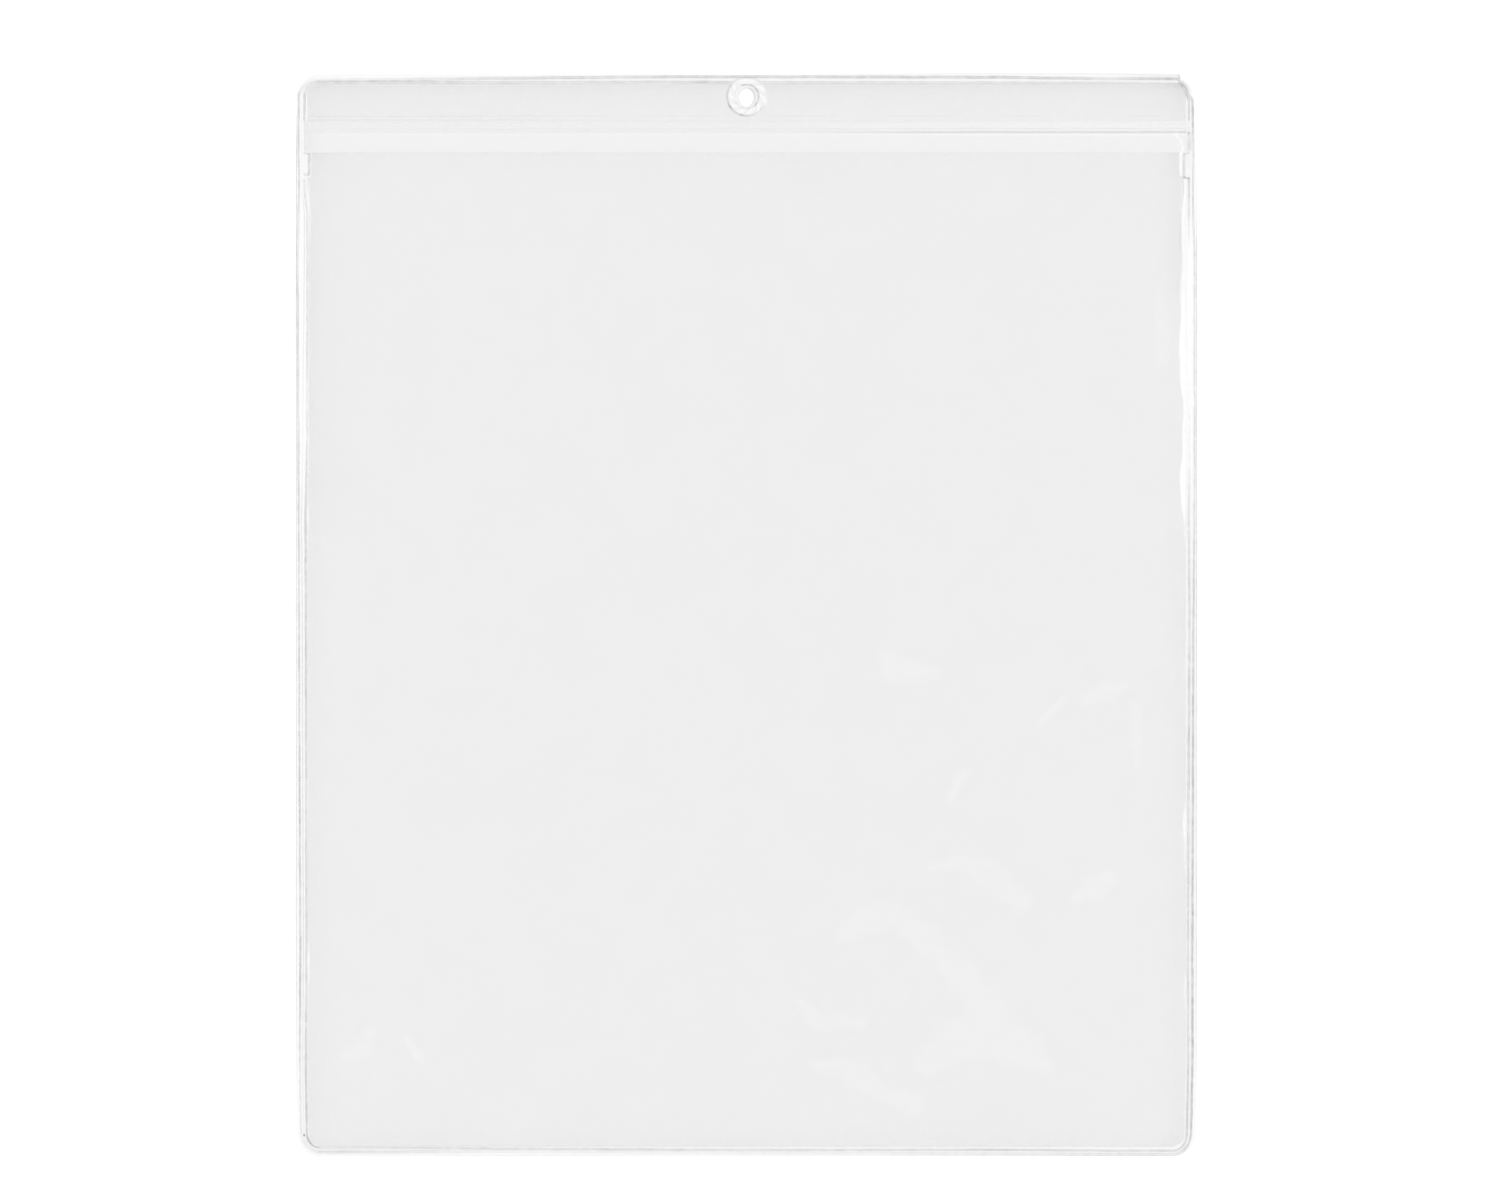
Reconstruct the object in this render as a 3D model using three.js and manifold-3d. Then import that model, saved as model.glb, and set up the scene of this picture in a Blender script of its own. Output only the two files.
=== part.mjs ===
// A clear vinyl document sleeve: a full-size back film, a pocket film over its lower part and a header
// strip over its top, fused by welds. The pocket is open along its upper edge, and the sleeve hangs by
// a punched hole in the header.
// Millimetres. It lies on its back film: X runs across it, Y up towards the header, Z through the films,
// with the origin under the middle of the sheet.

import * as THREE from 'three';
import Module from 'manifold-3d';
import { mergeVertices } from 'three/addons/utils/BufferGeometryUtils.js';

// Outline
const SLEEVE_WIDTH = 254;
const SLEEVE_HEIGHT = 304.8;
const CORNER_RADIUS = 6.35;
const CORNER_STEPS = 6;

// Films and the welds between them
const FILM_THICKNESS = 0.3;
const PRESSED_THICKNESS = 0.42;
const SIDE_SEAM_WIDTH = 3.2;
const END_SEAM_WIDTH = 2.6;
const SINGLE_FILM_SHARE = 0.72;

// Header, measured down from the top edge of the sleeve
const HEADER_STRIP_DEPTH = 13;
const CROSS_WELD_WIDTH = 2;
const TRIMMED_TAIL = 1.1;
const TAIL_LIFT = 0.25;
const SEAM_EASE = 0.9;

// Hang hole, measured down from the top edge
const HOLE_DROP = 6.1;
const HOLE_DIAMETER = 5.8;
const HOLE_RING_DIAMETER = 11.5;
const RING_STEPS = 48;

// Pocket: its mouth, the small welds at the mouth's ends, and how far its film stands open
const MOUTH_DROP = 21.7;
const MOUTH_WELD_LENGTH = 7.5;
const MOUTH_WELD_WIDTH = 1.2;
const MOUTH_WELD_RIM = 0.5;
const MOUTH_WELD_STEPS = 5;
const POCKET_GAPE = 5.2;
const POCKET_CROWN = 0.5;
const RISE_LENGTH = 28;
const RISE_POWER = 2.2;

// How finely the pocket film is divided
const RISE_COLUMNS = 6;
const MIDDLE_COLUMNS = 7;
const RISE_ROWS = 6;
const MIDDLE_ROWS = 7;

// Beads that a welding die squeezes up beside its face: where the crest is, measured from the weld's
// first edge, how far the bead reaches from its crest, and how high it stands over the pressed film.
// The seam's are shares of its width, and a thin flange stands outside its first bead.
const SEAM_BEADS = [
  { at: 0.33, reach: 0.17, rise: 0.2 },
  { at: 0.82, reach: 0.18, rise: 0.38 },
];
const CROSS_WELD_BEADS = [
  { at: 0.3, reach: 0.6, rise: 0.36 },
  { at: 1.7, reach: 0.6, rise: 0.36 },
];
const RING_BEADS = [
  { at: 0.4, reach: 0.7, rise: 0.34 },
  { at: 2.35, reach: 1.0, rise: 0.36 },
];
const MOUTH_WELD_BEADS = [{ at: 0.2, reach: 0.4, rise: 0.36 }];
const BEAD_SAMPLES = 14;
const SEAM_SAMPLES = 22;

// Worked out from the driving dimensions
const TOP = SLEEVE_HEIGHT / 2;
const SEAM_FACE_X = SLEEVE_WIDTH / 2 - SIDE_SEAM_WIDTH;
const SEAM_FACE_Y = TOP - END_SEAM_WIDTH;
const MOUTH_Y = TOP - MOUTH_DROP;
const MOUTH_WELD_END_Y = MOUTH_Y - MOUTH_WELD_LENGTH;
const STRIP_END_Y = TOP - HEADER_STRIP_DEPTH;
const TAIL_END_Y = STRIP_END_Y - CROSS_WELD_WIDTH - TRIMMED_TAIL;
const HOLE_Y = TOP - HOLE_DROP;
const RING_RADIUS = HOLE_RING_DIAMETER / 2;

const QUARTER_TURN = Math.PI / 2;

const wasm = await Module();
wasm.setup();

// Even steps from one value to another, both ends included.
function steps(from, to, count) {
  return Array.from({ length: count + 1 }, (_, i) => from + ((to - from) * i) / count);
}

// Height of a weld's upper face above the back of the sleeve: the die presses the films to one
// thickness, and each bead adds a smooth rounded ridge.
function weldHeight(distance, beads) {
  const ridges = beads.map((bead) => {
    const offset = Math.min(Math.abs(distance - bead.at) / bead.reach, 1);
    return (bead.rise * (1 + Math.cos(Math.PI * offset))) / 2;
  });
  return PRESSED_THICKNESS + ridges.reduce((sum, ridge) => sum + ridge, 0);
}

// The upper line of a weld's section, as [distance, height] pairs from its first edge to its second.
function weldLine(width, beads, samples = BEAD_SAMPLES) {
  return steps(0, width, samples).map((distance) => [distance, weldHeight(distance, beads)]);
}

// A closed solid through a row of closed sections with equal counts of points. A row that doesn't
// return to its start is closed at both ends by strips between the section's two long edges.
function loft(sections, returnsToStart) {
  const count = sections[0].length;
  const triangles = [];
  const rows = returnsToStart ? sections.length : sections.length - 1;
  for (let row = 0; row < rows; row++) {
    const next = (row + 1) % sections.length;
    for (let i = 0; i < count; i++) {
      const j = (i + 1) % count;
      const near = [row * count + i, row * count + j];
      const far = [next * count + i, next * count + j];
      triangles.push(near[0], far[1], far[0], near[0], near[1], far[1]);
    }
  }
  if (!returnsToStart) {
    const last = (sections.length - 1) * count;
    for (let i = 0; i < count / 2 - 1; i++) {
      const across = count - 1 - i;
      triangles.push(i, across, i + 1, i + 1, across, across - 1);
      triangles.push(last + i, last + i + 1, last + across);
      triangles.push(last + i + 1, last + across - 1, last + across);
    }
  }
  const geometry = new THREE.BufferGeometry();
  geometry.setAttribute('position', new THREE.Float32BufferAttribute(sections.flat(2), 3));
  geometry.setIndex(triangles);
  return geometry;
}

// A flat film cut to an outline, lying with its underside at the given height.
function cutFilm(outline, underside) {
  const shape = new THREE.Shape(outline.map(([x, y]) => new THREE.Vector2(x, y)));
  const geometry = new THREE.ExtrudeGeometry(shape, { depth: FILM_THICKNESS, bevelEnabled: false });
  return geometry.translate(0, 0, underside);
}

// Width of the seam where its outline faces some way: the sides are wider than the ends, and a corner
// goes smoothly from one to the other.
function seamWidth(angle) {
  return SIDE_SEAM_WIDTH + (END_SEAM_WIDTH - SIDE_SEAM_WIDTH) * Math.sin(angle) ** 2;
}

// One rounded corner of a loop that runs inside the cut edge at some share of the seam's width. The
// corner is named by its quarter: 0 is top right, 1 top left, 2 bottom left and 3 bottom right.
function cornerArc(quarter, share) {
  const middle = QUARTER_TURN * (quarter + 0.5);
  const centreX = Math.sign(Math.cos(middle)) * (SLEEVE_WIDTH / 2 - CORNER_RADIUS);
  const centreY = Math.sign(Math.sin(middle)) * (TOP - CORNER_RADIUS);
  return steps(quarter * QUARTER_TURN, (quarter + 1) * QUARTER_TURN, CORNER_STEPS).map((angle) => {
    const radius = CORNER_RADIUS - share * seamWidth(angle);
    return [centreX + radius * Math.cos(angle), centreY + radius * Math.sin(angle)];
  });
}

// A whole loop at some share of the seam's width, anticlockwise from the right side. The long sides
// have extra points where the seam thins between the header's tail and the pocket's mouth.
function outlineLoop(share) {
  const side = SLEEVE_WIDTH / 2 - share * SIDE_SEAM_WIDTH;
  const thinning = [TAIL_END_Y, TAIL_END_Y - SEAM_EASE, MOUTH_Y + SEAM_EASE, MOUTH_Y];
  const leftSide = thinning.map((y) => [-side, y]);
  const rightSide = thinning.toReversed().map((y) => [side, y]);
  const upper = [...cornerArc(0, share), ...cornerArc(1, share)];
  const lower = [...cornerArc(2, share), ...cornerArc(3, share)];
  return [...rightSide, ...upper, ...leftSide, ...lower];
}

// Share of the full weld height at a place along the seam: only the back film runs between the tail
// and the mouth, so the seam is thinner there.
function seamShare(y) {
  const isSingle = y < TAIL_END_Y - SEAM_EASE / 2 && y > MOUTH_Y + SEAM_EASE / 2;
  return isSingle ? SINGLE_FILM_SHARE : 1;
}

// The perimeter weld: its flange, bead, valley and bead section carried round the rounded outline.
function perimeterWeld() {
  const line = weldLine(1, SEAM_BEADS, SEAM_SAMPLES).toReversed();
  const section = [[0, 0], [1, 0], ...line];
  const loops = section.map(([share]) => outlineLoop(share));
  const stations = loops[0].map((_, station) =>
    section.map(([, height], point) => {
      const [x, y] = loops[point][station];
      return [x, y, height * seamShare(y)];
    }),
  );
  return loft(stations, true);
}

// The hole ring's edge below the top seam, from right to left, as both films are cut round it. It ends
// on the seam's inner face, where the ring is fused with the seam.
function ringBite() {
  const ring = steps(0, 2 * Math.PI, RING_STEPS).map((angle) => [
    RING_RADIUS * Math.sin(angle),
    HOLE_Y - RING_RADIUS * Math.cos(angle),
  ]);
  const right = ring.filter(([x, y]) => x > 0 && y < SEAM_FACE_Y);
  const [lastX, lastY] = right.at(-1);
  const [nextX, nextY] = ring[right.length + 1];
  const share = (SEAM_FACE_Y - lastY) / (nextY - lastY);
  const meeting = [lastX + (nextX - lastX) * share, SEAM_FACE_Y];
  const downRight = [meeting, ...right.toReversed()];
  const upLeft = downRight.map(([x, y]) => [-x, y]).toReversed();
  return [...downRight, [0, HOLE_Y - RING_RADIUS], ...upLeft];
}

// The back film: the whole area inside the perimeter weld, with the bite for the hole ring.
function backFilm() {
  const lower = [...cornerArc(2, 1), ...cornerArc(3, 1)];
  const outline = [...cornerArc(0, 1), ...ringBite(), ...cornerArc(1, 1), ...lower];
  return cutFilm(outline, 0);
}

// The header strip: it lies on the back film from the top seam down to the cross weld.
function headerFilm() {
  const lower = [[-SEAM_FACE_X, STRIP_END_Y], [SEAM_FACE_X, STRIP_END_Y]];
  const outline = [...cornerArc(0, 1), ...ringBite(), ...cornerArc(1, 1), ...lower];
  return cutFilm(outline, FILM_THICKNESS);
}

// The weld across the header strip's lower edge. Below its second bead the strip ends in a short
// trimmed tail that lifts a little off the back film.
function headerWeld() {
  const line = weldLine(CROSS_WELD_WIDTH, CROSS_WELD_BEADS);
  const tailEnd = CROSS_WELD_WIDTH + TRIMMED_TAIL;
  const tailUnderside = FILM_THICKNESS + TAIL_LIFT;
  const tail = [[tailEnd, tailUnderside + FILM_THICKNESS], [tailEnd, tailUnderside]];
  const base = [[CROSS_WELD_WIDTH, FILM_THICKNESS], [0, FILM_THICKNESS]];
  const section = [...line, ...tail, ...base];
  const shape = new THREE.Shape(section.map(([down, height]) => new THREE.Vector2(-down, height)));
  const settings = { depth: 2 * SEAM_FACE_X, bevelEnabled: false };
  const geometry = new THREE.ExtrudeGeometry(shape, settings);
  const toWorld = new THREE.Matrix4().makeBasis(
    new THREE.Vector3(0, 1, 0),
    new THREE.Vector3(0, 0, 1),
    new THREE.Vector3(1, 0, 0),
  );
  return geometry.applyMatrix4(toWorld).translate(-SEAM_FACE_X, STRIP_END_Y, 0);
}

// A closed geometry as a solid that can be cut.
function solid(geometry) {
  const bare = geometry.clone();
  bare.deleteAttribute('normal');
  bare.deleteAttribute('uv');
  const merged = mergeVertices(bare);
  const vertProperties = merged.attributes.position.array;
  const triVerts = Uint32Array.from(merged.index.array);
  return new wasm.Manifold(new wasm.Mesh({ numProp: 3, vertProperties, triVerts }));
}

// A cut solid as a geometry again.
function toGeometry(cut) {
  const mesh = cut.getMesh();
  const geometry = new THREE.BufferGeometry();
  geometry.setAttribute('position', new THREE.BufferAttribute(mesh.vertProperties, mesh.numProp));
  geometry.setIndex(new THREE.BufferAttribute(mesh.triVerts, 1));
  return geometry;
}

// The fused ring round the hang hole: a turned bead, valley and bead, cut off straight where it runs
// into the top seam.
function hangHoleRing() {
  const holeRadius = HOLE_DIAMETER / 2;
  const line = weldLine(RING_RADIUS - holeRadius, RING_BEADS).toReversed();
  const section = [[holeRadius, 0], [RING_RADIUS, 0]];
  section.push(...line.map(([distance, height]) => [holeRadius + distance, height]));
  section.push([holeRadius, 0]);
  const profile = section.map(([radius, height]) => new THREE.Vector2(radius, height));
  const ring = new THREE.LatheGeometry(profile, RING_STEPS);
  ring.rotateX(QUARTER_TURN).translate(0, HOLE_Y, 0);
  const below = new THREE.BoxGeometry(HOLE_RING_DIAMETER * 2, HOLE_RING_DIAMETER, HOLE_RING_DIAMETER);
  below.translate(0, SEAM_FACE_Y - HOLE_RING_DIAMETER / 2, 0);
  return toGeometry(solid(ring).intersect(solid(below)));
}

// Distance from the sleeve's centre line to the pocket film's side edge. The film ends at the side
// seam, is cut round the small weld at its mouth, and follows the rounded corner at its foot.
function pocketSideRows() {
  const foot = cornerArc(3, 1).map(([x, y]) => [y, x]);
  const risen = steps(0, 1, RISE_ROWS).slice(1);
  const footTop = foot.at(-1)[0];
  const rising = risen.map((share) => [footTop + RISE_LENGTH * share ** 1.5, SEAM_FACE_X]);
  const middle = steps(rising.at(-1)[0], MOUTH_WELD_END_Y, MIDDLE_ROWS).slice(1);
  const long = middle.map((y) => [y, SEAM_FACE_X]);
  const weldArc = mouthWeldArc(0).slice(1).map(([inward, up]) => [
    MOUTH_WELD_END_Y + up,
    SEAM_FACE_X - inward,
  ]);
  return [...foot, ...rising, ...long, ...weldArc, [MOUTH_Y, SEAM_FACE_X - MOUTH_WELD_WIDTH]];
}

// The rounded lower corner of a mouth weld as distances inward from the side seam and up from the
// weld's lower end. A margin moves it in and shortens it, so that it starts on the moved-in side.
function mouthWeldArc(margin) {
  const radius = MOUTH_WELD_WIDTH - margin;
  const start = Math.asin(margin / radius);
  return steps(start, QUARTER_TURN, MOUTH_WELD_STEPS).map((angle) => [
    radius * Math.sin(angle),
    MOUTH_WELD_WIDTH - radius * Math.cos(angle),
  ]);
}

// Share of the pocket's full gape at some distance from a seam: the film climbs steeply beside the
// seam and runs level where it is free.
function gapeShare(distance) {
  return 1 - (1 - Math.min(distance / RISE_LENGTH, 1)) ** RISE_POWER;
}

// The pocket film: one thin sheet, held down along both sides and the foot and bowed up between them,
// so that its free upper edge stands open as the mouth.
function frontFilm() {
  const nearSide = steps(0, 1, RISE_COLUMNS).map((share) => RISE_LENGTH * share ** 1.5);
  const sections = pocketSideRows().toReversed().map(([y, halfWidth]) => {
    const fromFoot = y + SEAM_FACE_Y;
    const level = halfWidth - RISE_LENGTH;
    const left = nearSide.map((distance) => distance - halfWidth);
    const right = left.map((x) => -x).toReversed();
    const xs = [...left, ...steps(-level, level, MIDDLE_COLUMNS).slice(1, -1), ...right];
    const underside = xs.map((x) => {
      const crown = POCKET_CROWN * (1 - (x / halfWidth) ** 2);
      const lift = gapeShare(halfWidth - Math.abs(x)) * gapeShare(fromFoot);
      return [x, y, FILM_THICKNESS + (POCKET_GAPE + crown) * lift];
    });
    const upper = underside.map(([x, , z]) => [x, y, z + FILM_THICKNESS]).toReversed();
    return [...underside, ...upper];
  });
  return loft(sections, false);
}

// A small weld at one end of the mouth, where the pulling load of the opening ends. It widens the side
// seam, has one rounded corner and a bead round its edge. The side is -1 for left and 1 for right.
function mouthWeld(side) {
  const levels = [[0, FILM_THICKNESS], ...weldLine(MOUTH_WELD_RIM, MOUTH_WELD_BEADS)];
  const loops = levels.map(([margin, height]) => {
    const head = MOUTH_WELD_LENGTH - margin;
    const outline = [...mouthWeldArc(margin), [MOUTH_WELD_WIDTH - margin, head], [margin, head]];
    return outline.map(([inward, up]) => [side * (SEAM_FACE_X - inward), MOUTH_WELD_END_Y + up, height]);
  });
  return stack(side > 0 ? loops : loops.map((loop) => loop.toReversed()));
}

// A closed solid through a stack of loops, with a fan over the first and the last loop.
function stack(loops) {
  const count = loops[0].length;
  const triangles = [];
  for (let level = 0; level < loops.length - 1; level++) {
    for (let i = 0; i < count; i++) {
      const j = (i + 1) % count;
      const low = [level * count + i, level * count + j];
      const high = [low[0] + count, low[1] + count];
      triangles.push(low[0], high[1], low[1], low[0], high[0], high[1]);
    }
  }
  const top = (loops.length - 1) * count;
  for (let i = 1; i < count - 1; i++) {
    triangles.push(0, i, i + 1);
    triangles.push(top, top + i + 1, top + i);
  }
  const geometry = new THREE.BufferGeometry();
  geometry.setAttribute('position', new THREE.Float32BufferAttribute(loops.flat(2), 3));
  geometry.setIndex(triangles);
  return geometry;
}

// Clear plasticised vinyl: glossy, a little grey where one film lies over another.
function vinyl(colour, roughness, opacity) {
  const look = { color: colour, roughness, metalness: 0, transparent: true, opacity };
  return new THREE.MeshStandardMaterial(look);
}

const filmVinyl = vinyl(0xeff0f1, 0.12, 0.35);
const weldVinyl = vinyl(0xf7f8f9, 0.2, 0.5);

const sleeve = new THREE.Group();

function add(name, geometry, material) {
  const mesh = new THREE.Mesh(geometry, material);
  mesh.name = name;
  sleeve.add(mesh);
}

add('back_film', backFilm(), filmVinyl);
add('front_film', frontFilm(), filmVinyl);
add('header_film', headerFilm(), filmVinyl);
add('perimeter_weld', perimeterWeld(), weldVinyl);
add('header_weld', headerWeld(), weldVinyl);
add('hang_hole_ring', hangHoleRing(), weldVinyl);
add('left_mouth_weld', mouthWeld(-1), weldVinyl);
add('right_mouth_weld', mouthWeld(1), weldVinyl);

export default sleeve;
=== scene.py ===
import math

import bpy
import numpy as np
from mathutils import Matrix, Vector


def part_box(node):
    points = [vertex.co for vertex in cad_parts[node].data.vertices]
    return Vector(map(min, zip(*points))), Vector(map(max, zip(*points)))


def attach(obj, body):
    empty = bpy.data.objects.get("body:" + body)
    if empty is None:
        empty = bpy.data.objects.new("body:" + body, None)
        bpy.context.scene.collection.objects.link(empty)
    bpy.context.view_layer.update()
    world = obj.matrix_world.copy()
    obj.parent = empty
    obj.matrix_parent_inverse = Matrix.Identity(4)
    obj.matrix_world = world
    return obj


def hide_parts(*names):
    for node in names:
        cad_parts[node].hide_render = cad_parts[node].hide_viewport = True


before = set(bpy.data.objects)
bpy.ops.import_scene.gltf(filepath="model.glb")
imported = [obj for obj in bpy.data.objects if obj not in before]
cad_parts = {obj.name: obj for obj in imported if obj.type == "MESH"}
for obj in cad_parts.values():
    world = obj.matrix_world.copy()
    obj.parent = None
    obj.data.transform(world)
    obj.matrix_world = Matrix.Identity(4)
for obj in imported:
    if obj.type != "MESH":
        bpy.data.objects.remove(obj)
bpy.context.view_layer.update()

# A clear vinyl document sleeve that lies on its back film. Metres: X runs across it, Y up towards the
# header, Z through the films. Each piece is a closed surface worked out on a grid, with two values at
# each point: its place, and dim, the share of light that the vinyl keeps back there. Dim also holds
# painted shade, as dark lines along beads, cut edges and bends, and painted highlights, where it is
# lowered.

MM = 0.001
PX = MM / 3.546            # one pixel of the photograph, on the sleeve
PHOTO_WIDTH = 1500
PHOTO_HEIGHT = 1200
PHOTO_CENTRE = (0.99 * MM, 4.3 * MM)


def photo_x(pixel):
    """Place across the sleeve of a column of the photograph."""
    return PHOTO_CENTRE[0] + (pixel - PHOTO_WIDTH / 2) * PX


def photo_y(pixel):
    """Place up the sleeve of a row of the photograph."""
    return PHOTO_CENTRE[1] + (PHOTO_HEIGHT / 2 - pixel) * PX


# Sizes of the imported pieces
weld_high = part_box("perimeter_weld")[1]
film_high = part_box("back_film")[1]
strip_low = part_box("header_film")[0]
cross_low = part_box("header_weld")[0]
pocket_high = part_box("front_film")[1]
ring_low, ring_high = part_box("hang_hole_ring")
tab_low, tab_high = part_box("right_mouth_weld")

HALF_WIDTH = weld_high.x
HALF_HEIGHT = weld_high.y
FACE_X = film_high.x
FACE_Y = film_high.y
SIDE_SEAM = HALF_WIDTH - FACE_X
END_SEAM = HALF_HEIGHT - FACE_Y
FILM = film_high.z
STRIP_END_Y = strip_low.y
TAIL_END_Y = cross_low.y
MOUTH_Y = pocket_high.y
POCKET_RISE = pocket_high.z - 2 * FILM
RING_RADIUS = (ring_high.x - ring_low.x) / 2
HOLE_Y = ring_low.y + RING_RADIUS
TAB_END_Y = tab_low.y
TAB_WIDTH = tab_high.x - tab_low.x

# Sizes that the boxes don't tell
CORNER_RADIUS = 6.35 * MM
HOLE_RADIUS = 2.9 * MM
PRESSED = 0.42 * MM          # thickness of a weld in its pressed valley
FILM_GAP = 0.02 * MM         # between two films that lie on each other
RING_OUTER_BEAD = 2.55 * MM  # from the hole's edge to the crest of the ring's outer bead
CROSS_WELD_WIDTH = 2.0 * MM
TAIL_LIFT = 0.25 * MM
LOWER_DRAW_IN = 0.55 * MM
DRAW_IN_ROW = 1040           # row of the photograph from which the sleeve draws in
DRAW_IN_LENGTH = 36 * MM
STRONG_COLUMN = 760          # column from which the lines at the header's tail are darker


# Curves that the pieces share

# How dark the painted shade of a bead is, on its flanks and on its crest
FLANK_DARK = 0.9
CREST_DARK = 0.62
RIPPLE_SINES = 3
RIPPLE_SCALE = 1.5


def bump(t):
    """Rounded ridge: 1 at its crest and 0 from one reach away, along a raised cosine."""
    return 0.5 * (1 + np.cos(np.pi * np.clip(np.abs(t), 0, 1)))


def lean(t):
    """How steeply a rounded ridge leans: 0 at its crest and feet, 1 halfway down its flanks."""
    return np.sin(np.pi * np.clip(np.abs(t), 0, 1))


def bead_line(t):
    """Painted shade of a clear bead, for the light that it bends away: a dark line on its two flanks,
    with a lighter crest between them.
    """
    return np.maximum(FLANK_DARK * lean(t), CREST_DARK * bump(t))


def ease(t):
    """Smooth step from 0 to 1."""
    t = np.clip(t, 0, 1)
    return t * t * (3 - 2 * t)


def rising(y, low_row, high_row):
    """Smooth step up the sleeve, from 0 at one row of the photograph to 1 at another."""
    return ease((y - photo_y(low_row)) / (photo_y(high_row) - photo_y(low_row)))


def span(t, start, end, soft):
    """1 between start and end, easing to 0 over a soft stretch centred on each."""
    return ease((t - start) / soft + 0.5) * ease((end - t) / soft + 0.5)


def about(distance, place, reach):
    """Distance from a place, as a share of a reach. Both of them are in millimetres."""
    return (distance - place * MM) / (reach * MM)


def fade(distance, length, power=1):
    """Falls off from 1 as the exponential of the distance over a length in millimetres, raised to a
    power."""
    return np.exp(-(distance / (length * MM)) ** power)


def ripple(share, cycles, seed):
    """Uneven wave of about 1 in height: three sines, each about twice as quick and half as high as
    the one before, from seeded phases. It repeats when share goes from 0 to 1."""
    rng = np.random.default_rng(seed)
    wave = np.zeros_like(np.asarray(share, float))
    for octave in range(RIPPLE_SINES):
        turns = cycles * 2 ** octave + rng.integers(0, 2 + octave)
        wave += 0.5 ** octave * np.sin(2 * np.pi * turns * share + rng.uniform(0, 2 * np.pi))
    return wave / RIPPLE_SCALE


def by_side(angle, right, top, left, foot):
    """A value for each side of the sleeve, blended round the corners by the square of the cosine
    between the way that the outline faces and the way that the side faces."""
    across = np.cos(angle)
    up = np.sin(angle)
    return (right * np.maximum(across, 0) ** 2 + left * np.maximum(-across, 0) ** 2
            + top * np.maximum(up, 0) ** 2 + foot * np.maximum(-up, 0) ** 2)


def sheet_drift(points):
    """The whole sleeve isn't quite square: it draws in a little towards its lower corners. Moves
    points in the plane of the sheet."""
    draw_in = LOWER_DRAW_IN * ease((photo_y(DRAW_IN_ROW) - points[:, 1]) / DRAW_IN_LENGTH)
    points[:, 0] -= points[:, 0] / HALF_WIDTH * draw_in
    return points


# Meshes

# What one face of each piece keeps back where nothing marks it
BACK_DIM = 0.045
HEADER_DIM = 0.004
POCKET_DIM = 0.0048
WELD_DIM = 0.002

SHARP_ANGLE = math.radians(50)


def surface(x, y, z):
    """Grid of points from their places across the sleeve, up it and through its films."""
    return np.stack(np.broadcast_arrays(x, y, z), axis=-1)


def grid_quads(rows, columns, ring=False):
    """Quads between neighbours of a grid of rows and columns, whose points are numbered row by row.
    A ring joins the last row to the first."""
    ids = np.arange(rows * columns).reshape(rows, columns)
    if ring:
        ids = np.vstack([ids, ids[:1]])
    return np.stack([ids[:-1, :-1], ids[:-1, 1:], ids[1:, 1:], ids[1:, :-1]], axis=-1).reshape(-1, 4)


def shell(upper, lower, quads):
    """Closed shell between two surfaces with the same quads: the lower quads are turned over, and
    each edge that only one quad has gets a quad of rim between the surfaces."""
    upper = upper.reshape(-1, 3)
    count = len(upper)
    edges = np.concatenate([quads[:, [i, (i + 1) % 4]] for i in range(4)])
    forward = edges[:, 0] * count + edges[:, 1]
    backward = edges[:, 1] * count + edges[:, 0]
    rim = edges[~np.isin(backward, forward)]
    rim_quads = np.stack([rim[:, 1], rim[:, 0], rim[:, 0] + count, rim[:, 1] + count], axis=1)
    faces = np.concatenate([quads, quads[:, ::-1] + count, rim_quads])
    return np.concatenate([upper, lower.reshape(-1, 3)]), faces


def film_shell(x, rows, underside, dim, quads):
    """A film of even thickness above its underside, with the same dim on both faces. The points
    that no quad uses are dropped."""
    lower = surface(x, rows, underside)
    points, quads = shell(lower + [0, 0, FILM], lower, quads)
    used, quads = np.unique(quads, return_inverse=True)
    return points[used], np.tile(dim.ravel(), 2)[used], quads.reshape(-1, 4)


def weld_shell(upper, lower, dim, quads):
    """A weld between its upper and lower surfaces, of which only the upper one is marked."""
    points, quads = shell(upper, lower, quads)
    return points, np.concatenate([dim.ravel(), np.full(dim.size, WELD_DIM)]), quads


def add_object(name, data):
    """An object in the scene that holds a mesh, a light or a camera."""
    made = bpy.data.objects.new(name, data)
    bpy.context.scene.collection.objects.link(made)
    return made


def make_piece(name, node, points, dim, quads, material, slot):
    """A smooth closed mesh with its dim attribute, which rides on the sleeve and stands for a node."""
    mesh = bpy.data.meshes.new(name)
    points = sheet_drift(np.array(points, float))
    mesh.vertices.add(len(points))
    mesh.vertices.foreach_set("co", points.astype(np.float32).ravel())
    mesh.loops.add(quads.size)
    mesh.loops.foreach_set("vertex_index", quads.astype(np.int32).ravel())
    mesh.polygons.add(len(quads))
    mesh.polygons.foreach_set("loop_start", np.arange(0, quads.size, 4, dtype=np.int32))
    mesh.update(calc_edges=True)
    mesh.attributes.new("dim", "FLOAT", "POINT").data.foreach_set("value", dim.astype(np.float32))
    mesh.shade_smooth()
    mesh.set_sharp_from_angle(angle=SHARP_ANGLE)
    mesh.materials.append(material)
    piece = add_object(name, mesh)
    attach(piece, "root")
    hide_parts(node)


# Materials

PALE_DIM = 0.02              # up to this dim the haze is pale, and from the next one on it is dark, as painted shade
DARK_DIM = 0.14
PALE_HAZE = 0.72
# grey of the haze at its darkest, which is painted shade
PAINTED_SHADE_GREY = 0.12
CLOUD_DETAIL = 3
GRAIN_DETAIL = 2
GRAIN_HEIGHT = 0.02 * MM
GRAIN_STRENGTH = 0.6
FACE_ON_GLOSS = 0.04
GRAZING_POWER = 5.0


def empty_tree(material):
    """The material's node tree, with no nodes in it."""
    material.use_nodes = True
    material.node_tree.nodes.clear()
    return material.node_tree


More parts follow.
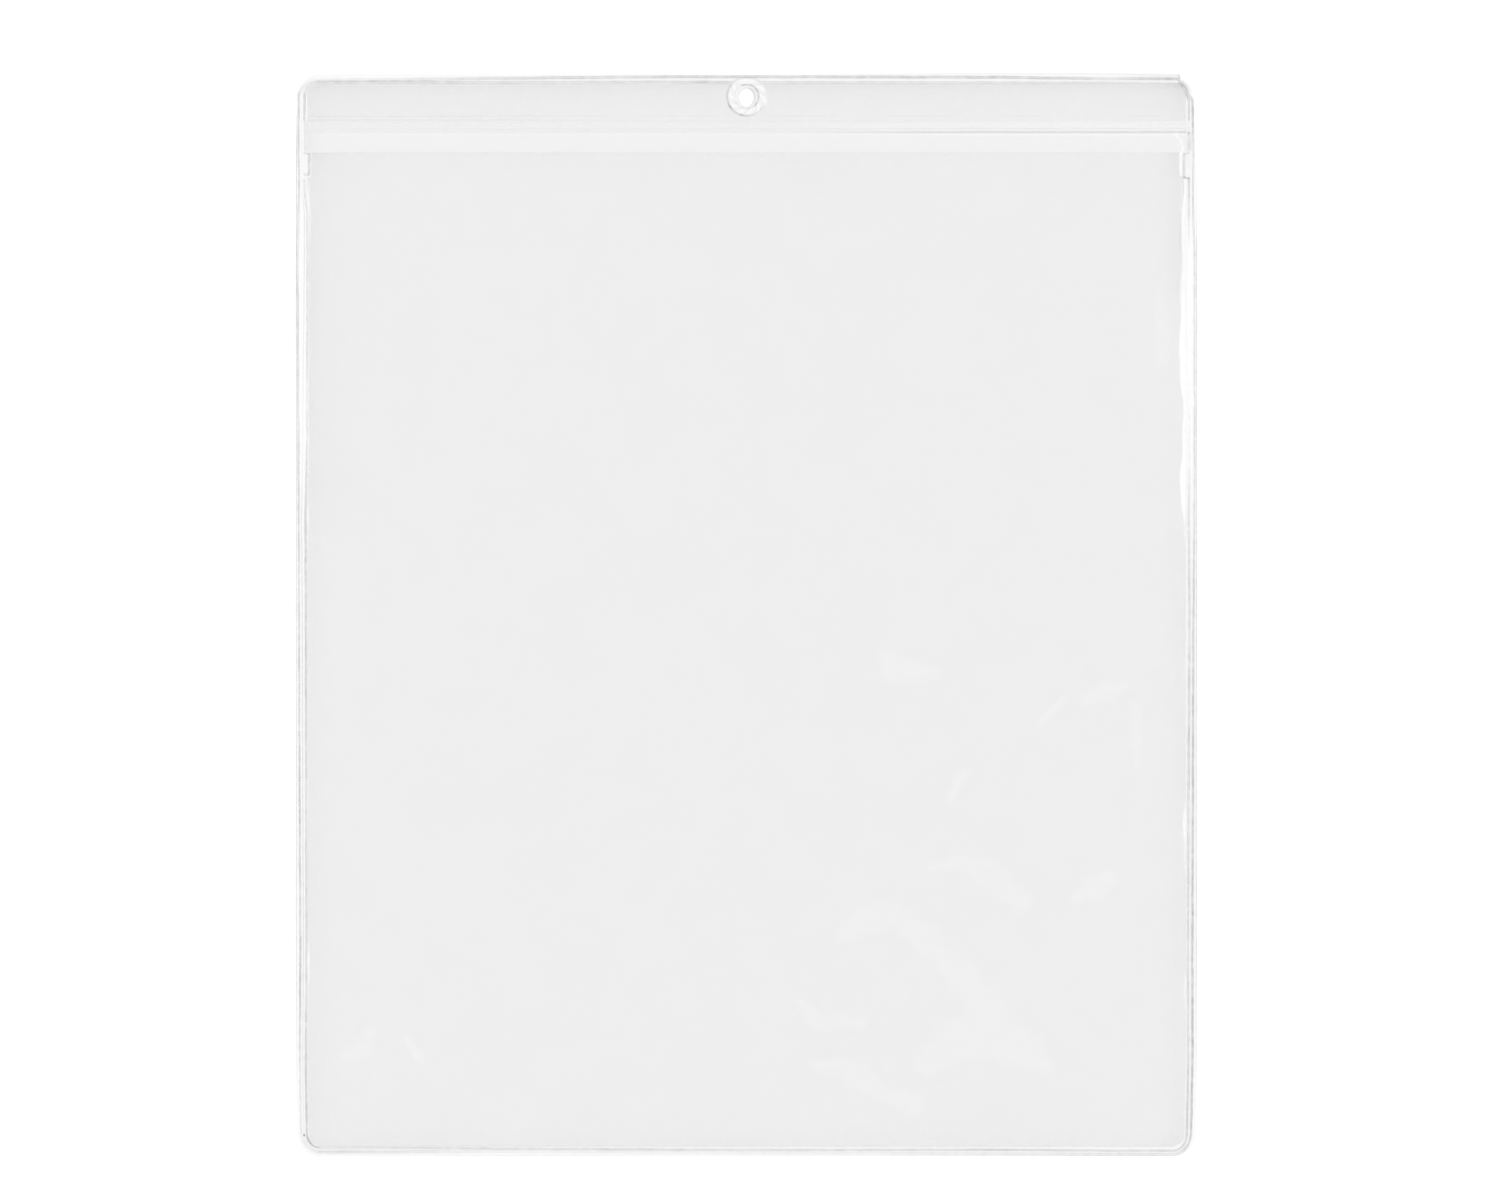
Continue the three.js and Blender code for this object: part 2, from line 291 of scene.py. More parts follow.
def math_node(tree, operation, *values):
    """Result of a Math node. A number is set on its socket, and anything else is linked to it."""
    made = tree.nodes.new("ShaderNodeMath")
    made.operation = operation
    for socket, value in zip(made.inputs, values):
        if isinstance(value, (int, float)):
            socket.default_value = value
        else:
            tree.links.new(value, socket)
    return made.outputs[0]


def map_range(tree, value, limits):
    """A value moved in proportion from one range to another. Limits that aren't given are 0 and 1."""
    made = tree.nodes.new("ShaderNodeMapRange")
    for name, limit in limits.items():
        made.inputs[name].default_value = limit
    tree.links.new(value, made.inputs["Value"])
    return made.outputs["Result"]


def noise(tree, place, size, detail):
    """Cloudy pattern whose lumps are about one size."""
    made = tree.nodes.new("ShaderNodeTexNoise")
    made.inputs["Scale"].default_value = 1 / size
    made.inputs["Detail"].default_value = detail
    tree.links.new(place, made.inputs["Vector"])
    return made.outputs["Fac"]


def mix_shaders(tree, share, first, second):
    """Shader that goes from the first to the second one as share goes from 0 to 1."""
    made = tree.nodes.new("ShaderNodeMixShader")
    for socket, value in zip(made.inputs, (share, first, second)):
        tree.links.new(value, socket)
    return made.outputs[0]


def hazed_with_painted_shade(tree, place, cloud_size, cloud_spread):
    """What is behind the vinyl, less a thin haze that the dim attribute sets, with faint clouds in
    it. Where dim is small the haze is pale, and where a bead's flank turns the light away it is
    dark: that dark haze is painted shade. The haze covers dim over one less its own grey, so that dim is
    the light kept back."""
    attribute = tree.nodes.new("ShaderNodeAttribute")
    attribute.attribute_name = "dim"
    cloud = noise(tree, place, cloud_size, CLOUD_DETAIL)
    cloudy = math_node(tree, "MULTIPLY_ADD", cloud, cloud_spread, 1 - cloud_spread / 2)
    dim = math_node(tree, "MULTIPLY", attribute.outputs["Fac"], cloudy)
    limits = {"From Min": PALE_DIM, "From Max": DARK_DIM, "To Min": PALE_HAZE, "To Max": PAINTED_SHADE_GREY}
    grey = map_range(tree, dim, limits)
    cover = math_node(tree, "DIVIDE", dim, math_node(tree, "SUBTRACT", 1.0, grey))
    colour = tree.nodes.new("ShaderNodeCombineColor")
    for socket in colour.inputs:
        tree.links.new(grey, socket)
    haze = tree.nodes.new("ShaderNodeBsdfDiffuse")
    tree.links.new(colour.outputs["Color"], haze.inputs["Color"])
    clear = tree.nodes.new("ShaderNodeBsdfTransparent")
    return mix_shaders(tree, cover, clear.outputs[0], haze.outputs[0])


def glossed(tree, place, body, roughness, grain_size):
    """A gloss over the body, bent by a faint grain. Its share grows towards grazing views as the
    fifth power of how far the surface turns away."""
    relief = tree.nodes.new("ShaderNodeBump")
    relief.inputs["Strength"].default_value = GRAIN_STRENGTH
    relief.inputs["Distance"].default_value = GRAIN_HEIGHT
    tree.links.new(noise(tree, place, grain_size, GRAIN_DETAIL), relief.inputs["Height"])
    gloss = tree.nodes.new("ShaderNodeBsdfGlossy")
    gloss.inputs["Roughness"].default_value = roughness
    tree.links.new(relief.outputs["Normal"], gloss.inputs["Normal"])
    facing_away = tree.nodes.new("ShaderNodeLayerWeight").outputs["Facing"]
    grazing = math_node(tree, "POWER", facing_away, GRAZING_POWER)
    share = math_node(tree, "MULTIPLY_ADD", grazing, 1 - FACE_ON_GLOSS, FACE_ON_GLOSS)
    return mix_shaders(tree, share, body, gloss.outputs[0])


def vinyl(name, roughness, grain_size, cloud_size, cloud_spread, light_passed):
    """Clear vinyl: a haze, which is dark as painted shade where dim is large, and a gloss over it. Light
    on its way to what lies below meets neither of them, and loses only a little at each face."""
    material = bpy.data.materials.new(name)
    tree = empty_tree(material)
    place = tree.nodes.new("ShaderNodeTexCoord").outputs["Object"]
    body = hazed_with_painted_shade(tree, place, cloud_size, cloud_spread)
    seen = glossed(tree, place, body, roughness, grain_size)
    rays = tree.nodes.new("ShaderNodeLightPath").outputs
    lighting = math_node(tree, "MAXIMUM", rays["Is Shadow Ray"], rays["Is Diffuse Ray"])
    passed = tree.nodes.new("ShaderNodeBsdfTransparent")
    passed.inputs["Color"].default_value = (light_passed, light_passed, light_passed, 1)
    output = tree.nodes.new("ShaderNodeOutputMaterial")
    tree.links.new(mix_shaders(tree, lighting, seen, passed.outputs[0]), output.inputs["Surface"])
    return material


film_vinyl = vinyl("clear_film_vinyl", roughness=0.07, grain_size=4 * MM, cloud_size=22 * MM,
                   cloud_spread=0.24, light_passed=0.985)
weld_vinyl = vinyl("welded_vinyl", roughness=0.1, grain_size=1.4 * MM, cloud_size=2.2 * MM,
                   cloud_spread=0.9, light_passed=0.996)


# The perimeter weld: where its stations are

FINE_STEP = 0.25 * MM
STEPS_SKIPPED = 6
CORNER_STATIONS = 22
NEAR_RING = 9 * MM           # stations this near the ring and the ends are a fine step apart
NEAR_END = 1.2 * MM
UPRIGHT = 0.9                # how far a station faces sideways, at least, on the side seams


def side_steps(start, end):
    """Stations along one straight side, as shares of it: every sixth fine step, and each one near
    the ring and near the heights where the films and small welds end."""
    length = np.linalg.norm(end - start)
    share = np.arange(0, length, FINE_STEP) / length
    place = start + (end - start) * share[:, None]
    near_ring = (np.abs(place[:, 0]) < NEAR_RING) & (place[:, 1] > 0)
    ends = np.array([STRIP_END_Y, TAIL_END_Y, MOUTH_Y, TAB_END_Y])
    near_end = (np.abs(place[:, 1:] - ends) < NEAR_END).any(axis=1)
    every = np.arange(len(share)) % STEPS_SKIPPED == 0
    return share[near_ring | near_end | every]


def outline():
    """Stations round the sleeve, anticlockwise from the foot of the right side, as the path of the
    corner centres and the way that the cut edge faces. A point of the seam lies on the station's own
    path, one corner radius less its inset out along that way."""
    core = np.array([HALF_WIDTH, HALF_HEIGHT]) - CORNER_RADIUS
    corners = core * np.array([[1, -1], [1, 1], [-1, 1], [-1, -1]])
    path = []
    facing = []
    for side in range(4):
        start, end = corners[side], corners[(side + 1) % 4]
        share = side_steps(start, end)
        path.append(start + (end - start) * share[:, None])
        facing.append(np.full(len(share), side * np.pi / 2))
        path.append(np.repeat(end[None], CORNER_STATIONS, axis=0))
        facing.append((side + np.arange(CORNER_STATIONS) / CORNER_STATIONS) * np.pi / 2)
    return np.concatenate(path), np.concatenate(facing)


path, facing = outline()
ways = np.stack([np.cos(facing), np.sin(facing)], axis=1)
cut = path + CORNER_RADIUS * ways
station_x, station_y = cut[:, 0], cut[:, 1]
steps_round = np.linalg.norm(np.diff(cut, axis=0, append=cut[:1]), axis=1)
round_share = np.concatenate([[0], np.cumsum(steps_round)[:-1]]) / steps_round.sum()
faces_right = np.maximum(ways[:, 0], 0)
faces_left = np.maximum(-ways[:, 0], 0)
faces_up = np.maximum(ways[:, 1], 0)
upright = np.abs(ways[:, 0]) > UPRIGHT


def wander(height, cycles, seed):
    """Uneven wave of a given height round the whole seam."""
    return height * ripple(round_share, cycles, seed)


# The corners where the seam's lines run together: at the top right between two rows of the
# photograph, and at the others between two ways of facing, with a soft stretch, in degrees
TOP_RIGHT_ROWS = (103, 92)
TOP_LEFT_FACING = (100, 165, 22)
FOOT_LEFT_FACING = (196, 262, 18)
TURN_START = 0.2
TURN_LENGTH = 0.14
turned_right = ease((ways[:, 0] - TURN_START) / TURN_LENGTH)
top_right = turned_right * rising(station_y, *TOP_RIGHT_ROWS)
top_left = span(facing, *map(math.radians, TOP_LEFT_FACING))
foot_left = span(facing, *map(math.radians, FOOT_LEFT_FACING))


# The perimeter weld: the lines along it

# Rows and columns of the photograph where the seam was read, up the sides and from left to right
# along the ends. The values that follow are in that order.
SIDE_ROWS = np.array([1110, 960, 740, 620, 520, 440, 250, 215, 190, 143, 104])
END_COLUMNS = np.array([375, 493, 661, 829, 997, 1110, 1165])


def up_side(values):
    """A value at every station's height, straight between those read. One number holds everywhere."""
    return np.interp(station_y, photo_y(SIDE_ROWS), np.broadcast_to(values, SIDE_ROWS.shape))


def along_end(values):
    """The same for every station's place across the sleeve."""
    return np.interp(station_x, photo_x(END_COLUMNS), np.broadcast_to(values, END_COLUMNS.shape))


def read_round(right, top, left, foot):
    """A value at every station, from those read along each side and blended round the corners."""
    return by_side(facing, up_side(right), along_end(top), up_side(left), along_end(foot))


# Lines along the seam, as distances in from the cut edge
CORNER_OUTER_LINE = 1.9 * MM
CORNER_INNER_LINE = 2.7 * MM
outer_line = MM * read_round(
    right=(1.20, 1.28, 1.08, 0.95, 0.68, 0.66, 0.66, 1.03, 1.08, 0.95, 1.22),
    top=(1.43, 1.00, 0.58, 0.61, 0.69, 1.14, 1.14),
    left=(0.93, 1.20, 0.92, 0.80, 0.72, 0.66, 0.38, 0.66, 0.83, 0.66, 0.69),
    foot=(1.03, 1.17, 0.89, 0.75, 0.47, 0.35, 0.35))
inner_line = MM * read_round(
    right=(2.40, 2.55, 2.29, 2.08, 2.29, 2.10, 2.20, 2.26, 2.26, 2.26, 2.29),
    top=(2.10, 2.19, 2.05, 2.19, 2.27, 2.36, 2.60),
    left=(2.62, 2.92, 2.78, 2.75, 2.64, 3.10, 3.20, 3.10, 2.35, 2.38, 2.38),
    foot=(2.24, 2.05, 1.74, 1.65, 1.68, 1.43, 1.43))
outer_line += (CORNER_OUTER_LINE - outer_line) * top_right + wander(0.04 * MM, cycles=60, seed=4)
inner_line += (CORNER_INNER_LINE - inner_line) * top_right + wander(0.03 * MM, cycles=70, seed=6)
middle_share = read_round(
    right=0.5, top=0.5, foot=0.5,
    left=(0.5, 0.5, 0.5, 0.5, 0.42, 0.5, 0.7, 0.7, 0.6, 0.5, 0.5))
middle_line = outer_line + (inner_line - outer_line) * middle_share
widened = MM * read_round(
    right=0, top=0, foot=0,
    left=(0, 0, 0, 0, 0, 0.45, 0.45, 0.45, 0, 0, 0))
face_line = by_side(facing, SIDE_SEAM, END_SEAM, SIDE_SEAM, END_SEAM) + widened

# The cut strays from the outline: out along the top on the right, in beside the header. The first
# number of each pair is how far in it goes, in millimetres.
STRAY_COLUMNS = (880, 1165)
STRAY_EASE = 60 * MM
RIGHT_STRAY_ROWS = (200, 120)
LEFT_STRAY_ROW = 120
LEFT_STRAY_EASE = 2 * MM
out_at_top = span(station_x, *map(photo_x, STRAY_COLUMNS), STRAY_EASE) * faces_up
in_at_right = rising(station_y, *RIGHT_STRAY_ROWS) * turned_right
in_at_left = ease((station_y - photo_y(LEFT_STRAY_ROW)) / LEFT_STRAY_EASE) * faces_left
strays = ((0.75, in_at_right), (0.4, top_right), (0.3, in_at_left), (0.2, top_left), (-0.4, out_at_top))
edge_line = sum(inward * where for inward, where in strays) * MM + wander(0.03 * MM, cycles=13, seed=7)

# How dark each line and the valley between them are. The lines are painted shade, where a bead or the
# cut edge bends the light away; where the valley's dim falls to 0 partway up the sides, it is a painted
# highlight.
outer_dark = read_round(
    right=(0.53, 0.50, 0.46, 0.43, 0.32, 0.31, 0.30, 0.38, 0.39, 0.30, 0.53),
    top=(0.14, 0.30, 0.35, 0.36, 0.41, 0.25, 0.34),
    left=(0.26, 0.51, 0.47, 0.40, 0.40, 0.41, 0.30, 0.33, 0.39, 0.38, 0.44),
    foot=(0.24, 0.10, 0.10, 0.11, 0.16, 0.20, 0.20))
inner_dark = read_round(
    right=(0.37, 0.28, 0.36, 0.34, 0.33, 0.10, 0.00, 0.28, 0.42, 0.30, 0.38),
    top=(0.28, 0.23, 0.24, 0.23, 0.21, 0.22, 0.22),
    left=(0.44, 0.32, 0.32, 0.45, 0.40, 0.27, 0.30, 0.30, 0.28, 0.30, 0.46),
    foot=(0.18, 0.25, 0.25, 0.21, 0.29, 0.25, 0.25))
edge_dark = read_round(
    right=(0.00, 0.20, 0.20, 0.27, 0.31, 0.31, 0.33, 0.07, 0.06, 0.00, 0.00),
    top=(0.00, 0.02, 0.03, 0.05, 0.10, 0.12, 0.00),
    left=(0.00, 0.25, 0.25, 0.23, 0.25, 0.27, 0.30, 0.30, 0.30, 0.30, 0.00),
    foot=(0.05, 0.13, 0.06, 0.05, 0.08, 0.10, 0.10))
middle_dark = read_round(
    right=(0.05, 0.05, 0.05, 0.05, 0.00, 0.00, 0.00, 0.00, 0.00, 0.00, 0.03),
    top=(0.06, 0.05, 0.03, 0.03, 0.03, 0.03, 0.03),
    left=(0.08, 0.20, 0.20, 0.22, 0.20, 0.05, 0.22, 0.22, 0.05, 0.05, 0.03),
    foot=(0.05, 0.05, 0.03, 0.03, 0.05, 0.05, 0.05))
valley_dim = read_round(
    right=(0.07, 0.07, 0.07, 0.06, 0.05, 0.00, 0.00, 0.02, 0.03, 0.07, 0.05),
    top=(0.06, 0.05, 0.04, 0.04, 0.04, 0.04, 0.05),
    left=(0.05, 0.04, 0.04, 0.03, 0.02, 0.00, 0.00, 0.00, 0.02, 0.03, 0.03),
    foot=(0.07, 0.05, 0.06, 0.06, 0.06, 0.05, 0.05))
flange_dim = read_round(
    right=(0, 0.04, 0.04, 0.035, 0, 0, 0, 0, 0, 0, 0),
    top=(0, 0, 0, 0, 0, 0.02, 0.09), left=0, foot=0)

# The lines fade into each other at the corners, and the inner one is darker beside the hole. All of them
# are painted shade.
HOLE_COLUMNS = (690, 735)
HOLE_EASE = 4 * MM
beside_hole = span(station_x, *map(photo_x, HOLE_COLUMNS), HOLE_EASE) * faces_up
outer_dark *= 1 - 0.85 * top_right - 0.6 * top_left - 0.5 * foot_left
inner_dark = inner_dark * (1 - 0.75 * top_left) - 0.07 * top_right + 0.1 * beside_hole + 0.12 * foot_left
edge_dark *= 1 - top_right - top_left
valley_dim += 0.06 * (top_right + top_left) + 0.03 * foot_left


# The perimeter weld: its section, as one row of samples for each station

STRETCH_SAMPLES = 8          # samples from each line of the seam to the next one
OUTER_REACH = (0.36, 0.48, 0.34, 0.5)    # half width of a bead in millimetres, as by_side takes it
INNER_REACH = (0.36, 0.5, 0.36, 0.36)
CORNER_REACH = 0.25          # how much farther the inner bead reaches at the top right
LEAST_RUN = 0.3 * MM


def seam_section():
    """Distances in from the cut edge at every station and sample: even steps between the lines of
    the seam, which are the cut edge, the outer bead, the middle of the valley, the inner bead and
    the face where the films begin."""
    lines = np.stack([edge_line, outer_line, middle_line, inner_line, face_line], axis=1)
    sample = np.linspace(0, 4, 4 * STRETCH_SAMPLES + 1)
    weights = np.stack([np.interp(sample, range(5), row) for row in np.eye(5)])
    return lines @ weights


def seam_plan(inset):
    """Points at an inset from the outline, one inset for each station and sample."""
    return path[:, None] + (CORNER_RADIUS - inset)[..., None] * ways[:, None]


inset = seam_section()
seam_xy = seam_plan(inset)
face_loop = path + (CORNER_RADIUS - face_line)[:, None] * ways

# Distances from the lines, as shares of the beads' half widths
outer_reach = by_side(facing, *OUTER_REACH)[:, None] * MM
inner_reach = (by_side(facing, *INNER_REACH) + CORNER_REACH * top_right)[:, None] * MM
from_edge = inset - edge_line[:, None]
from_outer = (inset - outer_line[:, None]) / outer_reach
from_inner = (inset - inner_line[:, None]) / inner_reach
from_middle = about(inset - middle_line[:, None], 0, 0.25)
from_hole = np.hypot(seam_xy[..., 0], seam_xy[..., 1] - HOLE_Y)
from_ring_bead = about(from_hole - (HOLE_RADIUS + RING_OUTER_BEAD), 0, 0.4)
past_outer = ease(from_outer)
inner_run = np.maximum(face_line - inner_line, LEAST_RUN)[:, None]
towards_face = ease((inset - inner_line[:, None]) / inner_run)

# The inner bead dies out beside the mouth welds, beside the single film and inside the ring
beside_tab = span(station_y, TAB_END_Y, MOUTH_Y, 1.5 * MM) * upright
unbacked = span(station_y, MOUTH_Y, STRIP_END_Y, 0.8 * MM) * upright
in_ring = ease(about(RING_RADIUS - from_hole, 0, 1.2) + 0.5)
inner_strength = (1 - 0.92 * beside_tab - 0.85 * unbacked)[:, None] * (1 - 0.85 * in_ring)

FLANGE_DROP = 0.14 * MM      # how much thinner than the valley the cut flange is
OUTER_RISE = 0.2 * MM
INNER_RISE = 0.34 * MM
MIDDLE_RISE = 0.03 * MM
RING_BEAD_RISE = 0.3 * MM
SINGLE_SHARE = 0.72          # the seam's thickness beside the single film, as a share of the rest
SINGLE_EASE = 0.9 * MM


def seam_height():
    """Height of the seam: from the thin cut flange to the pressed valley and on to the films' height
    at its inner face, with a rounded ridge along each line. It is thinner where only the back film
    runs between the header's tail and the pocket's mouth."""
    flange = 1 - ease(about(from_edge, 0, 0.6))
    outer_rise = OUTER_RISE * (1 + wander(0.3, cycles=17, seed=9))[:, None]
    inner_rise = INNER_RISE * (1 + wander(0.25, cycles=21, seed=11))[:, None]
    height = PRESSED - FLANGE_DROP * flange + (2 * FILM - PRESSED) * towards_face
    height += outer_rise * bump(from_outer) + inner_rise * inner_strength * bump(from_inner)
    height += MIDDLE_RISE * bump(from_middle) + RING_BEAD_RISE * bump(from_ring_bead)
    low_end = MOUTH_Y + SINGLE_EASE / 2
    single = span(station_y, low_end, TAIL_END_Y - SINGLE_EASE / 2, SINGLE_EASE) * upright
    return height * (1 - (1 - SINGLE_SHARE) * single)[:, None]


SEAM_HAZE = 0.2              # the films' haze in the seam's inner face, as a share
VALLEY_START = 0.3           # how much of the valley's dim there is outside the outer bead
PINCHED_DIM = 0.1            # beside the single film on the right
BARE_DIM = 0.09              # and on the left
RING_LINE_DARK = 0.14


def dim_along_seam():
    """How much the seam keeps back: a faint haze towards the films, the valley's and flange's own dim, a
    darker stretch beside the single film, and a dark line of painted shade along each bead and the cut
    edge, where they bend the light away. The valley's dim falls to 0 partway up the sides, as a painted
    highlight."""
    pinched = (span(station_y, MOUTH_Y, TAIL_END_Y, 0.8 * MM) * faces_right)[:, None]
    inner_half = ease(about(inset, 1.3, 0.3))
    bare = (unbacked * faces_left)[:, None]
    outer = (outer_dark * (1 + wander(0.12, cycles=23, seed=13)))[:, None]
    inner = (inner_dark * (1 + wander(0.12, cycles=19, seed=17)))[:, None]
    dim = WELD_DIM + SEAM_HAZE * BACK_DIM * towards_face
    dim += valley_dim[:, None] * (VALLEY_START + (1 - VALLEY_START) * past_outer)
    dim += PINCHED_DIM * pinched * inner_half * ease(-about(inset, 3.3, 1))
    dim += BARE_DIM * bare * ease(about(inset, 2.05, 0.3))
    dim += flange_dim[:, None] * (1 - past_outer)
    dim += outer * bead_line(from_outer)
    dim += inner * inner_strength * bead_line(from_inner)
    dim += middle_dark[:, None] * bump(from_middle)
    dim += edge_dark[:, None] * bump(about(from_edge, 0.1, 0.24))
    dim += RING_LINE_DARK * past_outer * bead_line(from_ring_bead)
    return dim


CORNER_SHADE = 0.16
TAB_TOP_DARK = 0.16
TAB_FOOT_DARK = (0.36, 0.17)             # on the right and on the left
TAB_FOOT_LIFT = (0, 1.0 * MM)
SPUR_DARK = 0.4
SPUR_FACING = 0.24           # how far right the seam faces at the spur

# Small dark spots in the seam: column and row of the photograph, half their width in pixels, how dark
DARK_SEAM_SPOTS = (
    (304.2, 1135, 1.9, 0.7), (323, 1150, 1.7, 0.3), (303.6, 118.5, 1.2, 0.12), (1188.5, 118, 1.5, 0.2),
    (1185.3, 131.5, 1.8, 0.22), (1188.3, 133, 1.6, 0.28), (1178, 84, 1.6, 0.2), (1181, 86.5, 1.8, 0.25),
)


def dim_at_corner():
    """Shade of the top right corner, between the cut edge and the films and lighter on the bead."""
    turned = CORNER_SHADE * top_right * ease((ways[:, 1] - 0.15) / 0.6)
    past_edge = ease(about(from_edge, 0, 0.9))
    return turned[:, None] * (1 - bump(from_inner)) * past_edge * (1 - towards_face)


def dim_at_tab_ends():
    """Rounded dark marks across the inner half of the side seams, at the mouth welds' two ends."""
    at_right = station_x > 0
    from_foot = station_y - (TAB_END_Y + np.where(at_right, *TAB_FOOT_LIFT))
    ends = TAB_TOP_DARK * bump(about(station_y - MOUTH_Y, -0.5, 0.4))
    ends += np.where(at_right, *TAB_FOOT_DARK) * bump(about(from_foot, 0, 0.42))
    return ease(about(inset, 1.9, 0.4)) * (ends * upright)[:, None]


def dim_at_spur():
    """A dark spur across the outer half of the seam, where the stray cut ends at the top right."""
    spur = bump((ways[:, 0] - SPUR_FACING) / 0.1) * (station_y > 0)
    return SPUR_DARK * (1 - ease(about(from_edge, 0, 0.9))) * spur[:, None]


def perimeter_weld():
    """The seam's section carried round the outline: its upper line, and straight down and back
    along the flat underside. The dark spots are rounded, placed where the drawn-in seam lies."""
    dim = dim_along_seam()
    dim += dim_at_corner()
    dim += dim_at_tab_ends()
    dim += dim_at_spur()
    placed = sheet_drift(seam_xy.reshape(-1, 2).copy()).reshape(seam_xy.shape)
    for column, row, half_width, dark in DARK_SEAM_SPOTS:
        away = np.hypot(placed[..., 0] - photo_x(column), placed[..., 1] - photo_y(row))
        dim += dark * bump(away / (half_width * PX))
    upper = surface(seam_xy[..., 0], seam_xy[..., 1], seam_height())
    return weld_shell(upper, upper * [1, 1, 0], dim, grid_quads(*inset.shape, ring=True))


# The films' plans. They meet the weld's inner face. Rows are heights up the sleeve, as a column.

SIDEWAYS = 1e-9              # stations that face sideways by more than this are on the sides
RING_ROW_COUNT = 26
EVEN_SHARE = 0.25


def film_sides(y):
    """Left and right ends of a film at each height, read off the seam's inner face."""
    ends = []
    for half in (ways[:, 0] < -SIDEWAYS, ways[:, 0] > SIDEWAYS):
        face = face_loop[half]
        face = face[np.argsort(face[:, 1])]
        ends.append(np.interp(y, face[:, 1], face[:, 0]))
    return ends


def ring_half_width(y):
    """Half the width of the hang hole's ring at each height."""
    return np.sqrt(np.maximum(RING_RADIUS ** 2 - (y - HOLE_Y) ** 2, 0))


def ring_rows():
    """Heights from the foot of the ring to the top seam, at even steps of angle round the ring."""
    top = math.acos((HOLE_Y - FACE_Y) / RING_RADIUS)
    return HOLE_Y - RING_RADIUS * np.cos(np.linspace(0, top, RING_ROW_COUNT))


def split_film(rows, columns):
    """Plan of a film that is cut round the ring: each row has a left and a right half, which meet
    on the centre line below the ring and end on the ring beside it. The steps along a half are a
    blend of even ones and a smooth step, and so are shorter near its ends."""
    left, right = film_sides(rows)
    inner = ring_half_width(rows)
    share = np.linspace(0, 1, columns)
    spread = EVEN_SHARE * share + (1 - EVEN_SHARE) * ease(share)
    left_x = left + (-inner - left) * spread
    right_x = (right + (inner - right) * spread)[:, ::-1]
    count = len(rows)
    quads = grid_quads(count, 2 * columns).reshape(count - 1, 2 * columns - 1, 4)
    quads = np.delete(quads, columns - 1, axis=1).reshape(-1, 4)
    joined = np.arange(count * 2 * columns).reshape(count, 2 * columns)
    whole = inner[:, 0] <= 0
    joined[whole, columns] = joined[whole, columns - 1]
    return np.concatenate([left_x, right_x], axis=1), joined.ravel()[quads]


def near_seam(x, rows):
    """Distance from the nearest of the two side faces, and from the nearest end face."""
    left, right = film_sides(rows)
    side = np.minimum(x - left, right - x)
    end = np.minimum(rows + FACE_Y, FACE_Y - rows)
    return np.maximum(side, 0), np.maximum(end, 0)


# Pale patches in the pocket, where both films keep back less and the front film sinks a little, as bands
# along the photograph's columns and rows, with half the band's width in pixels
PALE_PATCH_BANDS = (
    ((842, 936, 6), (866, 918, 13), (895, 915, 14), (925, 938, 13), (955, 968, 14), (985, 1008, 20)),
    ((925, 1062, 12), (960, 1040, 22), (990, 1030, 26), (1030, 1052, 16), (1050, 1068, 6)),
    ((932, 868, 4), (962, 862, 8), (985, 872, 13), (1020, 900, 10)),
    ((815, 1066, 5), (850, 1070, 12), (880, 1090, 9), (915, 1106, 10)),
    ((800, 1002, 4), (818, 1022, 9), (860, 1022, 6)),
    ((884, 654, 5), (893, 668, 13), (935, 674, 6)),
    ((1074, 900, 5), (1092, 888, 12), (1110, 876, 7)),
    ((1083, 700, 4), (1105, 692, 9), (1124, 686, 5)),
    ((1134, 706, 4), (1137, 740, 6), (1138, 764, 4)),
    ((1040, 722, 3), (1062, 700, 5)),
    ((948, 800, 4), (962, 776, 5)),
    ((345, 1056, 5), (365, 1046, 9), (372, 1030, 4)),
    ((405, 1036, 3), (420, 1058, 5)),
    ((1160, 290, 4), (1162, 330, 6), (1162, 366, 5)),
)
BAND_STEPS = 10
BAND_EDGE = 1.5              # where a patch has faded out, in half widths
RAGGED = 0.12                # how ragged its edge is, over two slanting widths
RAGGED_WIDTHS = (0.05, 0.041)


def pale_patches(x, rows):
    """1 on the pale patches and 0 elsewhere: it falls off with the distance from the nearest point of a
    band's middle line over the band's half width there, a little raggedly."""
    ragged = RAGGED * ripple((x + rows) / RAGGED_WIDTHS[0], cycles=2, seed=97)
    ragged = ragged + RAGGED * ripple((x - rows) / RAGGED_WIDTHS[1], cycles=2, seed=101)
    smooth = np.zeros_like(x)
    for band in PALE_PATCH_BANDS:
        corner = np.arange(len(band))
        step = np.linspace(0, len(band) - 1, BAND_STEPS * (len(band) - 1) + 1)
        column, row, half_width = (np.interp(step, corner, values) for values in zip(*band))
        away = np.hypot(x[..., None] - photo_x(column), rows[..., None] - photo_y(row))
        nearest = (away / (half_width * PX)).min(axis=-1)
        smooth = np.maximum(smooth, ease(BAND_EDGE - nearest + ragged))
    return smooth


# The back film

BACK_COLUMNS = 90
BACK_ROW_STEP = 2.2 * MM
LEAST_ROW_STEP = 0.02 * MM
CORNER_ROWS = 10
TAIL_ROWS = TAIL_END_Y + np.linspace(-1.4, 0.6, 18) * MM
WELD_ROWS = STRIP_END_Y + np.linspace(-2.5, 0.5, 9) * MM
BACK_LIFT = 0.05 * MM
BACK_WAVE_ACROSS = 0.3       # widths over which the waves repeat
BACK_WAVE_UP = 0.31
BACK_EASE = 6 * MM

# A bright streak of painted highlight at the right end of the mouth, and along the mouth weld there
STREAK_COLUMNS = np.array([1181.8, 1180.6, 1181, 1184, 1180, 1176])
STREAK_ROWS = np.array([178, 166, 154, 145, 139, 135])
STREAK_HIGHLIGHT = 0.045

